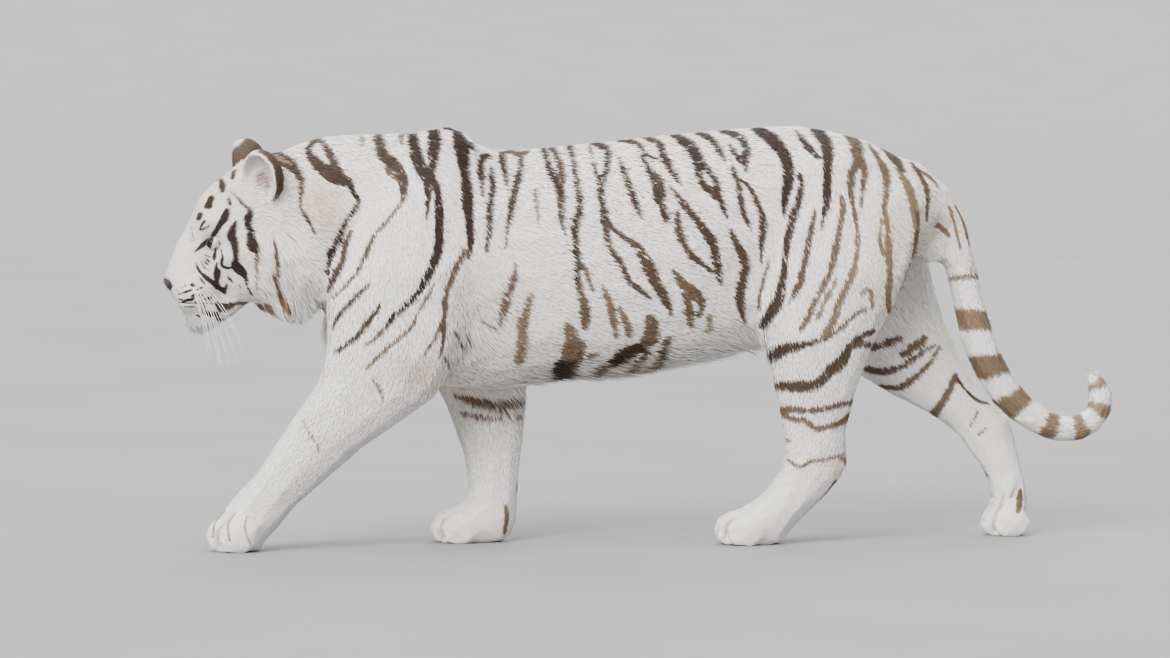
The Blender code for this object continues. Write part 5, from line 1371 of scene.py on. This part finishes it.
def tuft_colours(root, normal, flow, length, rise, f, marks):
    """Stripes, tone and cream of each tuft near its root and near its tip, with painted shade in the
    furrows between the toes.
    """
    colours = []
    # Painted shade: tufts deep in the furrows between the toes turn pale brown.
    furrow = np.stack([0.75 * f["furrow"], np.full(len(root), 0.70)], 1)
    deep = f["furrow"] > 0.3
    for share in (0.30, 0.78):
        seen = root + flow * (share * length)[:, None] + normal * (rise * 0.5)[:, None]
        colour = marks(seen, f["marks"])
        colour[:, 0] = ramp(colour[:, 0], 0.25, 0.75)
        colour[deep, :2] = furrow[deep]
        colours.append(colour)
    return colours


def grow_coat(points, tris, fields, marks, material):
    """All coat pieces."""
    total = TUFTS
    root, normal, f = scatter(points, tris, fields, total)
    flow = along_surface(f["flow"], normal)
    side = np.cross(normal, flow)
    turn = (0.20 * noise(root, 0.016, 11) + 0.14 * noise(root, 0.05, 12)
            + 0.09 * rng.standard_normal(total))[:, None]
    flow = unit(flow * np.cos(turn) + side * np.sin(turn))
    length = f["length"] * (0.78 + 0.44 * rng.random(total))
    rise = f["depth"] * (0.60 + 0.42 * rng.random(total)) * (1 + 0.22 * noise(root, 0.012, 13))
    rise *= f["stand"]
    width = f["width"] * (0.85 + 0.55 * rng.random(total)) * 1.0
    colour = tuft_colours(root, normal, flow, length, rise, f, marks)
    luck = rng.random(total)
    tips = 0.46 + 0.34 * luck + 0.55 * ramp(length, 0.026, 0.050) + 0.6 * (f["stand"] - 1)
    shape = (root, normal, flow, length, rise, width, f["bend"], np.minimum(tips, 1.15))
    inner = f["marks"][:, 4]
    looks = (*colour, luck, 0.5 + 0.5 * noise(root, 0.030, 14), inner)
    pieces = []
    for index, label in enumerate(LABELS):
        members = np.nonzero(f["label"] == index)[0]
        place = unwrapped(label, root[members], inner[members])
        cost = 1 + (length[members] > LONG_HAIR)
        parts = math.ceil(cost.sum() / PIECE_TUFTS)
        order = np.argsort(root[members, 0], kind="stable")
        share = np.cumsum(cost[order]) / (cost.sum() + 1)
        for number in range(parts):
            some = order[(share * parts).astype(int) == number]
            name = "coat_" + label + (f"_{number + 1}" if parts > 1 else "")
            pieces.append(coat_piece(name, material, members[some], place[some], shape, looks))
    return pieces


def tuft_patch(rings):
    """A tuft's vertices on the baking map, about its root's place."""
    patch = [(0.0, -1.0)]
    for ring in range(len(rings)):
        low = -0.25 + 0.6 * ring
        patch += [(-0.9, low), (0.0, low + 0.35), (0.9, low)]
    return np.array(patch + [(0.0, 1.0)]) * PATCH / 2


def coat_piece(name, material, chosen, place, shape, looks):
    """One joined mesh of tufts."""
    meshes, norms, under, marks, lies, maps = [], [], [], [], [], []
    long_hair = shape[3][chosen] > LONG_HAIR
    for rings, mine in ((SHORT_RINGS, ~long_hair), (LONG_RINGS, long_hair)):
        k = chosen[mine]
        near_root, near_tip, luck, shade, inner = (values[k] for values in looks)
        points, normals = tuft_points(*(values[k] for values in shape), rings)
        each = points.shape[1]
        one, below = tuft_faces(len(rings))
        tris = (one[None] + each * np.arange(len(k))[:, None, None]).reshape(-1, 3)
        meshes.append((points.reshape(-1, 3), tris))
        norms.append(normals.reshape(-1, 3))
        under.append(np.tile(below, len(k)))
        along = np.array([0.0] + [share for share, _, _ in rings for _ in range(3)] + [1.0])
        tip = ramp(along, 0.25, 0.95)[None, :, None]
        marks.append((near_root[:, None] * (1 - tip) + near_tip[:, None] * tip).reshape(-1, 3))
        lies.append(np.stack([np.tile(along, len(k)), np.repeat(luck, each),
                              np.repeat(shade, each), np.repeat(inner, each)], 1))
        maps.append((place[mine][:, None] + tuft_patch(rings)[None]).reshape(-1, 2))
    verts, faces, _ = joined(meshes)
    verts[:, 2] = np.maximum(verts[:, 2], 0.0003)
    piece = mesh_object(name, verts, faces, material)
    paint(piece, "mark", np.concatenate(marks))
    paint(piece, "lie", np.concatenate(lies))
    layer = piece.data.uv_layers.new(name="OFBake")
    layer.data.foreach_set("uv", np.concatenate(maps)[faces.ravel()].astype(np.float32).ravel())
    corners = np.concatenate(norms)[faces]
    corners[np.concatenate(under)] *= -1.0
    piece.data.normals_split_custom_set(corners.reshape(-1, 3).tolist())
    return piece


# ---------------------------------------------------------------- materials


def make(tree, kind, inputs=None, **settings):
    """A shader node, with its inputs linked or set."""
    node = tree.nodes.new(kind)
    for key, value in settings.items():
        setattr(node, key, value)
    for key, value in (inputs or {}).items():
        if isinstance(value, bpy.types.NodeSocket):
            tree.links.new(value, node.inputs[key])
        else:
            node.inputs[key].default_value = value
    return node


def blank(name, **constants):
    """A new material, its node tree and its shader, with constants set on the shader."""
    material = bpy.data.materials.new(name)
    material.use_nodes = True
    tree = material.node_tree
    shader = tree.nodes["Principled BSDF"]
    for key, value in constants.items():
        shader.inputs[key.replace("_", " ")].default_value = value
    return material, tree, shader


def mixed(tree, share, first, second, blend="MIX"):
    node = make(tree, "ShaderNodeMix", {0: share, 6: first, 7: second},
                data_type="RGBA", blend_type=blend)
    return node.outputs[2]


def curve(tree, value, *stops):
    """A ramp of greys or colours: stops are (place, value)."""
    node = make(tree, "ShaderNodeValToRGB", {"Fac": value})
    ends = node.color_ramp.elements
    while len(ends) < len(stops):
        ends.new(0.5)
    for end, (place, level) in zip(ends, stops):
        end.position = place
        end.color = level if isinstance(level, tuple) else (level, level, level, 1.0)
    return node.outputs["Color"]


def shaded(tree, colour, value, *stops):
    """The colour darkened by a ramp of greys."""
    return mixed(tree, 1.0, colour, curve(tree, value, *stops), "MULTIPLY")


def attribute(tree, name):
    """The three numbers of a colour attribute."""
    node = make(tree, "ShaderNodeAttribute", attribute_name=name)
    return make(tree, "ShaderNodeSeparateColor", {"Color": node.outputs["Color"]}).outputs


def texture(tree, scale, kind="Noise", output="Fac", **more):
    """A texture in the piece's own space."""
    where = make(tree, "ShaderNodeTexCoord").outputs["Object"]
    return make(tree, "ShaderNodeTex" + kind, dict(Vector=where, Scale=scale, **more)).outputs[output]


def coloured(tree, shader, colour, height=None, strength=0.0, distance=0.0):
    """Link the base colour, and a bump where there is a height."""
    tree.links.new(colour, shader.inputs["Base Color"])
    if height is not None:
        bump = make(tree, "ShaderNodeBump", dict(Strength=strength, Distance=distance, Height=height))
        tree.links.new(bump.outputs["Normal"], shader.inputs["Normal"])


def marked_colour(tree):
    """Colour of the coat from the stripes' attribute."""
    cover, tone, cream = attribute(tree, "mark")
    return mixed(tree, cover, mixed(tree, cream, WHITE, WARM), mixed(tree, tone, DARK, PALE))


def coat_material():
    material, tree, shader = blank("coat", Roughness=0.66, Sheen_Weight=0.04, Sheen_Roughness=0.4,
                                   Specular_IOR_Level=0.16)
    along, luck, shade = attribute(tree, "lie")
    hairs = texture(tree, 900.0, Detail=2.0)
    # Painted shade: each tuft is darker towards its root, where the coat over it shades it.
    colour = shaded(tree, marked_colour(tree), along, (0.0, 0.90), (0.5, 0.98), (1.0, 1.0))
    colour = shaded(tree, colour, luck, (0.0, 0.86), (0.5, 0.96), (1.0, 1.0))
    colour = shaded(tree, colour, shade, (0.0, 0.92), (1.0, 1.0))
    colour = shaded(tree, colour, hairs, (0.3, 0.88), (0.6, 1.0))
    coloured(tree, shader, colour, hairs, 0.25, 0.0006)
    return material


def skin_material():
    material, tree, shader = blank("skin", Sheen_Weight=0.1)
    rim, pad, socket = attribute(tree, "bare")
    fine, broad = texture(tree, 700.0, Detail=3.0), texture(tree, 60.0)
    colour = shaded(tree, marked_colour(tree), fine, (0.3, 0.84), (0.7, 0.96))
    colour = mixed(tree, socket, colour, srgb(90, 66, 60))
    colour = mixed(tree, curve(tree, rim, (0.35, 0.0), (0.75, 1.0)), colour, RIM)
    colour = mixed(tree, pad, colour, mixed(tree, broad, srgb(62, 48, 46), srgb(96, 76, 72)))
    coloured(tree, shader, colour, fine, 0.4, 0.0008)
    tree.links.new(curve(tree, rim, (0.0, 0.75), (1.0, 0.55)), shader.inputs["Roughness"])
    return material


def eye_material():
    """Small pupil, grey blue iris, its dark edge and the brown of the white, by the radius."""
    material, tree, shader = blank("eye", Roughness=0.45, Coat_Weight=0.10, Coat_Roughness=0.10,
                                   Specular_IOR_Level=0.15)
    where = make(tree, "ShaderNodeTexCoord").outputs["Object"]
    flat = make(tree, "ShaderNodeVectorMath", {0: where, 1: (1.0, 1.0, 0.0)}, operation="MULTIPLY")
    radius = make(tree, "ShaderNodeVectorMath", {0: flat.outputs["Vector"]}, operation="LENGTH")
    share = make(tree, "ShaderNodeMath", {0: radius.outputs["Value"], 1: EYE_RADIUS},
                 operation="DIVIDE")
    streaks = texture(tree, 420.0, Detail=3.0, Distortion=1.2)
    rings = curve(tree, share.outputs["Value"], (0.0, srgb(4, 4, 6)), (0.33, srgb(4, 4, 6)),
                  (0.365, srgb(58, 68, 70)), (0.50, srgb(50, 62, 68)),
                  (0.60, srgb(26, 34, 40)), (0.655, srgb(10, 10, 12)), (0.72, srgb(30, 22, 20)))
    coloured(tree, shader, shaded(tree, rings, streaks, (0.3, 0.62), (0.65, 1.0)), streaks,
             0.10, 0.0002)
    return material


def nose_material():
    material, tree, shader = blank("nose_leather", Coat_Weight=0.25, Coat_Roughness=0.25)
    hole, edge, _ = attribute(tree, "bare")
    cells = texture(tree, 850.0, "Voronoi", "Distance")
    spots = texture(tree, 160.0, Detail=3.0)
    colour = mixed(tree, curve(tree, spots, (0.42, 0.0), (0.62, 1.0)), LEATHER, srgb(46, 34, 37))
    colour = mixed(tree, edge, colour, srgb(34, 24, 26))
    # Painted shade: the nostrils and their slits near black.
    colour = mixed(tree, curve(tree, hole, (0.3, 0.0), (0.8, 1.0)), colour, srgb(16, 10, 10))
    coloured(tree, shader, colour, cells, 0.35, 0.0004)
    tree.links.new(curve(tree, cells, (0.0, 0.42), (1.0, 0.55)), shader.inputs["Roughness"])
    return material


def claw_material():
    material, tree, shader = blank("claw", Roughness=0.32, Coat_Weight=0.2)
    grain = texture(tree, 500.0, Detail=3.0)
    colour = curve(tree, attribute(tree, "tip")[0], (0.0, srgb(150, 128, 104)),
                   (0.5, srgb(206, 192, 166)), (1.0, srgb(232, 224, 206)))
    coloured(tree, shader, shaded(tree, colour, grain, (0.3, 0.78), (0.7, 1.0)), grain, 0.2, 0.0003)
    return material


def whisker_material():
    material, tree, shader = blank("whisker", Roughness=0.4)
    coloured(tree, shader, curve(tree, attribute(tree, "lie")[0], (0.0, srgb(224, 218, 206)),
                                 (1.0, srgb(250, 250, 248))))
    return material


# ---------------------------------------------------------------- eyes, nose, claws, whiskers


EYE_COLUMNS, EYE_ROWS = 56, 40
CORNEA = 0.085                # how far the cornea bulges, in the ball's radius


def make_eye(name, material):
    """Eyeball with a bulging cornea, in its own frame with the gaze along +Z."""
    angle = np.arange(EYE_COLUMNS) * 2 * math.pi / EYE_COLUMNS
    points = []
    for r in range(EYE_ROWS):
        polar = 0.02 + (math.pi - 0.04) * r / (EYE_ROWS - 1)
        bulge = 1 + CORNEA * math.exp(-(polar / 0.42) ** 4)
        ring = np.stack([np.sin(polar) * np.cos(angle), np.sin(polar) * np.sin(angle),
                         np.full(EYE_COLUMNS, math.cos(polar))], 1)
        points.append(ring * EYE_RADIUS * bulge)
    points, tris = np.concatenate(points), grid(EYE_COLUMNS, EYE_ROWS, True)
    eye = mesh_object(name + "_ball", points, facing(points, tris, points[tris[:, 0]]), material)
    gaze = HEAD_TURN @ unit(np.array((0.72, 0.66 if name == "eye_left" else -0.66, 0.14)))
    eye.matrix_world = (Matrix.Translation(middle(name))
                        @ Vector(gaze).to_track_quat("Z", "Y").to_matrix().to_4x4())
    return eye


NOSE_BULGE = 0.0150           # how far the middle of the leather stands forward
NOSE_CURL = 0.0075            # how far its edge turns back
NOSTRIL = (0.0135, -0.0010)   # place across and up
NOSTRIL_DEPTH = 0.0075
# Nose leather seen from the front: height above its middle, half width.
NOSE_OUTLINE = [(0.0190, 0.0130), (0.0165, 0.0195), (0.0110, 0.0242), (0.0040, 0.0255),
                (-0.0030, 0.0215), (-0.0085, 0.0130), (-0.0135, 0.0070), (-0.0190, 0.0030)]


def make_nose(material):
    """Nose leather with its two nostrils and the groove between them."""
    centre = to_head(middle("nose")[None])[0]
    heights, widths = np.array(NOSE_OUTLINE).T
    points, bare = [], []
    rows, columns = 44, 61
    for r in range(rows):
        t = heights[0] * (1 - 2 * r / (rows - 1))
        share = np.linspace(-1, 1, columns)
        y = np.interp(-t, -heights, widths) * share
        edge = np.maximum(np.abs(share) ** 6, abs(t / heights[0]) ** 8)
        dome = np.maximum(1 - 0.55 * (y / 0.027) ** 2 - 0.30 * (t / 0.019) ** 2, 0.05)
        side, up = np.abs(y) - NOSTRIL[0], t - NOSTRIL[1]
        hole = np.exp(-((side / 0.0048) ** 2 + (up / 0.0034) ** 2) ** 2)
        slit = np.exp(-(((side - 0.0065) / 0.0045) ** 2
                        + ((up - 0.0030 - 0.3 * side) / 0.0014) ** 2) ** 2)
        wing = np.exp(-(((side - 0.0015) / 0.0080) ** 2 + ((up - 0.0005) / 0.0070) ** 2))
        groove = np.exp(-(y / 0.0012) ** 2) * (t < 0.006)
        s = (NOSE_BULGE * np.sqrt(dome) - NOSE_CURL * edge - NOSTRIL_DEPTH * hole - 0.0028 * slit
             - 0.0010 * groove + 0.0012 * wing)
        points.append(np.stack([centre[0] + s, y, np.full(columns, centre[2] + t)], 1))
        # First channel: the nostrils and their slits, which the nose's material paints as shade; then the
        # edge.
        bare.append(np.stack([np.maximum(hole, slit * 0.9), edge, y * 0], 1))
    points, tris = from_head(np.concatenate(points)), grid(columns, rows, False)
    nose = mesh_object("nose_pad", points, facing(points, tris, HEAD_TURN[:, 0]), material)
    paint(nose, "bare", np.concatenate(bare))
    return nose


def make_claws(paw, material):
    """The four claws of a paw, rounded from the CAD."""
    meshes, tips = [], []
    for name in claw_nodes(paw):
        rough = mesh_object("claw", *merged(*node_mesh(name)))
        meshes.append(worked(rough, "SUBSURF", levels=2, render_levels=2))
        along = meshes[-1][0] @ np.array((-0.75, 0.0, -0.65))
        tips.append((along - along.min()) / np.ptp(along))
    claws = mesh_object("claws_" + paw, *joined(meshes)[:2], material)
    paint(claws, "tip", np.repeat(np.concatenate(tips)[:, None], 3, axis=1))
    return claws


# Whiskers: place (s, t) on the pad, length, then how far out, back and down they head.
WHISKERS = [(0.262, 0.036, 0.070, 0.70, 0.40, 0.42),
            (0.254, 0.036, 0.104, 0.68, 0.46, 0.40), (0.262, 0.027, 0.080, 0.55, 0.40, 0.60),
            (0.266, 0.024, 0.105, 0.55, 0.34, 0.62), (0.257, 0.022, 0.126, 0.55, 0.46, 0.58),
            (0.244, 0.018, 0.134, 0.50, 0.58, 0.52), (0.270, 0.011, 0.100, 0.45, 0.30, 0.80),
            (0.256, 0.007, 0.124, 0.45, 0.42, 0.76), (0.243, 0.003, 0.128, 0.42, 0.52, 0.70),
            (0.264, -0.004, 0.090, 0.36, 0.26, 0.90), (0.250, -0.010, 0.108, 0.36, 0.36, 0.85),
            (0.236, 0.012, 0.118, 0.50, 0.62, 0.40), (0.262, 0.014, 0.120, 0.50, 0.38, 0.70),
            (0.250, 0.012, 0.130, 0.50, 0.48, 0.64)]
# Brow hairs: the same, on the brow.
BROWS = [(0.165, 0.118, 0.055, 0.45, 0.30, -0.55), (0.155, 0.124, 0.065, 0.50, 0.40, -0.50),
         (0.172, 0.112, 0.040, 0.40, 0.15, -0.60)]
WHISKER_STEPS, WHISKER_SIDES = 12, 5
THICK, THIN = 0.00085, 0.00050    # radius of a whisker's root: over and under LONG_WHISKER
LONG_WHISKER = 0.07


def make_whiskers(side, surface, material):
    """Tapered, drooping whiskers of one side."""
    outward = HEAD_TURN[:, 1] * (1.0 if side == "left" else -1.0)
    tube = grid(WHISKER_SIDES, WHISKER_STEPS + 1, True)
    meshes, lies = [], []
    for s, t, size, out, back, down in WHISKERS + BROWS:
        jitter = rng.normal(0.0, 0.06, 3)
        start = from_head(np.array([[s, 0.0, t]]))[0] + outward * 0.20
        hit = surface.ray_cast(Vector(start), Vector(-outward))[0]
        if hit is None:
            continue
        ahead = unit(outward * (out + jitter[0]) + np.array((0.9 * back + jitter[1], 0.0, -down)))
        sag = np.array((-0.05, -0.10 * outward[1], -1.05 - jitter[2])) * (1.0 if down > 0 else 0.15)
        verts = []
        for u in np.linspace(0.0, 1.0, WHISKER_STEPS + 1):
            spot = np.array(hit) + size * (ahead * (u - 0.03) + sag * u * u * 0.55)
            way = unit(ahead + sag * u * 1.1)
            one = unit(np.cross(way, (0.0, 0.1, 1.0)))
            two = np.cross(way, one)
            thick = (THICK if size > LONG_WHISKER else THIN) * (1 - 0.75 * u)
            for angle in np.arange(WHISKER_SIDES) * 2 * math.pi / WHISKER_SIDES:
                verts.append(spot + thick * (one * math.cos(angle) + two * math.sin(angle)))
                lies.append((u, u, u))
        meshes.append((np.array(verts), tube))
    whiskers = mesh_object("whiskers_" + side, *joined(meshes)[:2], material)
    paint(whiskers, "lie", np.array(lies))
    return whiskers


# ---------------------------------------------------------------- stage


# Lights, all suns: the direction each comes from, how soft it is in degrees, and its strength.
LIGHTS = [("key", (-2.6, -3.6, 2.9), 35, 6.0), ("top", (0.2, -0.4, 3.7), 70, 4.5),
          ("fill", (3.2, -3.4, 1.1), 40, 0.5), ("back", (1.0, 2.6, 2.5), 40, 2.0),
          ("low", (-3.4, -2.2, 1.9), 40, 0.6)]
SKY = (0.86, 0.89, 0.95, 1.0)
SKY_STRENGTH = 0.55
# Floor: radius and height of its rings; it rises far behind any camera, so no view meets a wall.
FLOOR_RINGS = [(1.0, 0.0), (30.0, 0.0), (60.0, 0.0), (80.0, 1.2), (95.0, 4.5), (105.0, 9.0),
               (112.0, 15.0), (116.0, 22.0)]
FLOOR_SIDES = 96


def make_stage():
    """Pale floor that rises far away all round, camera and soft lights."""
    angles = np.arange(FLOOR_SIDES) * 2 * math.pi / FLOOR_SIDES
    points = [(r * math.cos(a), r * math.sin(a), z) for r, z in FLOOR_RINGS for a in angles]
    points = np.array(points + [(0.0, 0.0, 0.0)])
    around_middle = [(k, (k + 1) % FLOOR_SIDES, len(points) - 1) for k in range(FLOOR_SIDES)]
    tris = np.concatenate([grid(FLOOR_SIDES, len(FLOOR_RINGS), True)[:, ::-1], around_middle])
    material, tree, shader = blank("floor", Roughness=0.85)
    coloured(tree, shader, curve(tree, texture(tree, 1.2), (0.2, srgb(128, 128, 127)),
                                 (0.8, srgb(135, 135, 134))))
    floor = mesh_object("floor", points, tris, material)
    camera = bpy.data.objects.new("camera", bpy.data.cameras.new("camera"))
    bpy.context.scene.collection.objects.link(camera)
    target = Vector(CAMERA_TARGET)
    camera.location = target + CAMERA_AWAY * Vector(SIGHT)
    camera.rotation_euler = (target - camera.location).to_track_quat("-Z", "Y").to_euler()
    camera.data.lens = CAMERA_LENS
    camera.data.sensor_width = CAMERA_SENSOR
    camera.data.clip_end = CAMERA_SIGHT
    bpy.context.scene.camera = camera
    for name, place, softness, strength in LIGHTS:
        lamp = bpy.data.lights.new(name, "SUN")
        lamp.angle, lamp.energy = math.radians(softness), strength
        light = bpy.data.objects.new(name, lamp)
        light.location = place
        light.rotation_euler = Vector(place).to_track_quat("Z", "Y").to_euler()
        bpy.context.scene.collection.objects.link(light)
    world = bpy.data.worlds.new("studio")
    world.use_nodes = True
    sky = world.node_tree.nodes["Background"]
    sky.inputs["Color"].default_value = SKY
    sky.inputs["Strength"].default_value = SKY_STRENGTH
    bpy.context.scene.world = world


# ---------------------------------------------------------------- everything together


def main():
    make_stage()
    points, tris, fields, marks = make_skin()
    skin = mesh_object("skin", points, tris, skin_material())
    paint(skin, "mark", marks(points, fields["marks"], 0.003))
    paint(skin, "bare", fields["bare"])
    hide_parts(*flesh_nodes())
    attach(skin, "root")
    surface = surface_of(points, tris)
    for piece in grow_coat(points, tris, fields, marks, coat_material()):
        name = "tail_coat" if "tail" in piece.name else "ear_coat" if "ears" in piece.name else "coat"
        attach(piece, "root")
    eye = eye_material()
    for name in EYES:
        ball = make_eye(name, eye)
        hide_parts(name)
        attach(ball, "root")
    nose = make_nose(nose_material())
    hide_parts("nose")
    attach(nose, "root")
    horn = claw_material()
    for paw in PAWS:
        claws = make_claws(paw, horn)
        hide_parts(*claw_nodes(paw))
        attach(claws, "root")
    bristle = whisker_material()
    for side in ("left", "right"):
        whiskers = make_whiskers(side, surface, bristle)
        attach(whiskers, "root")


main()
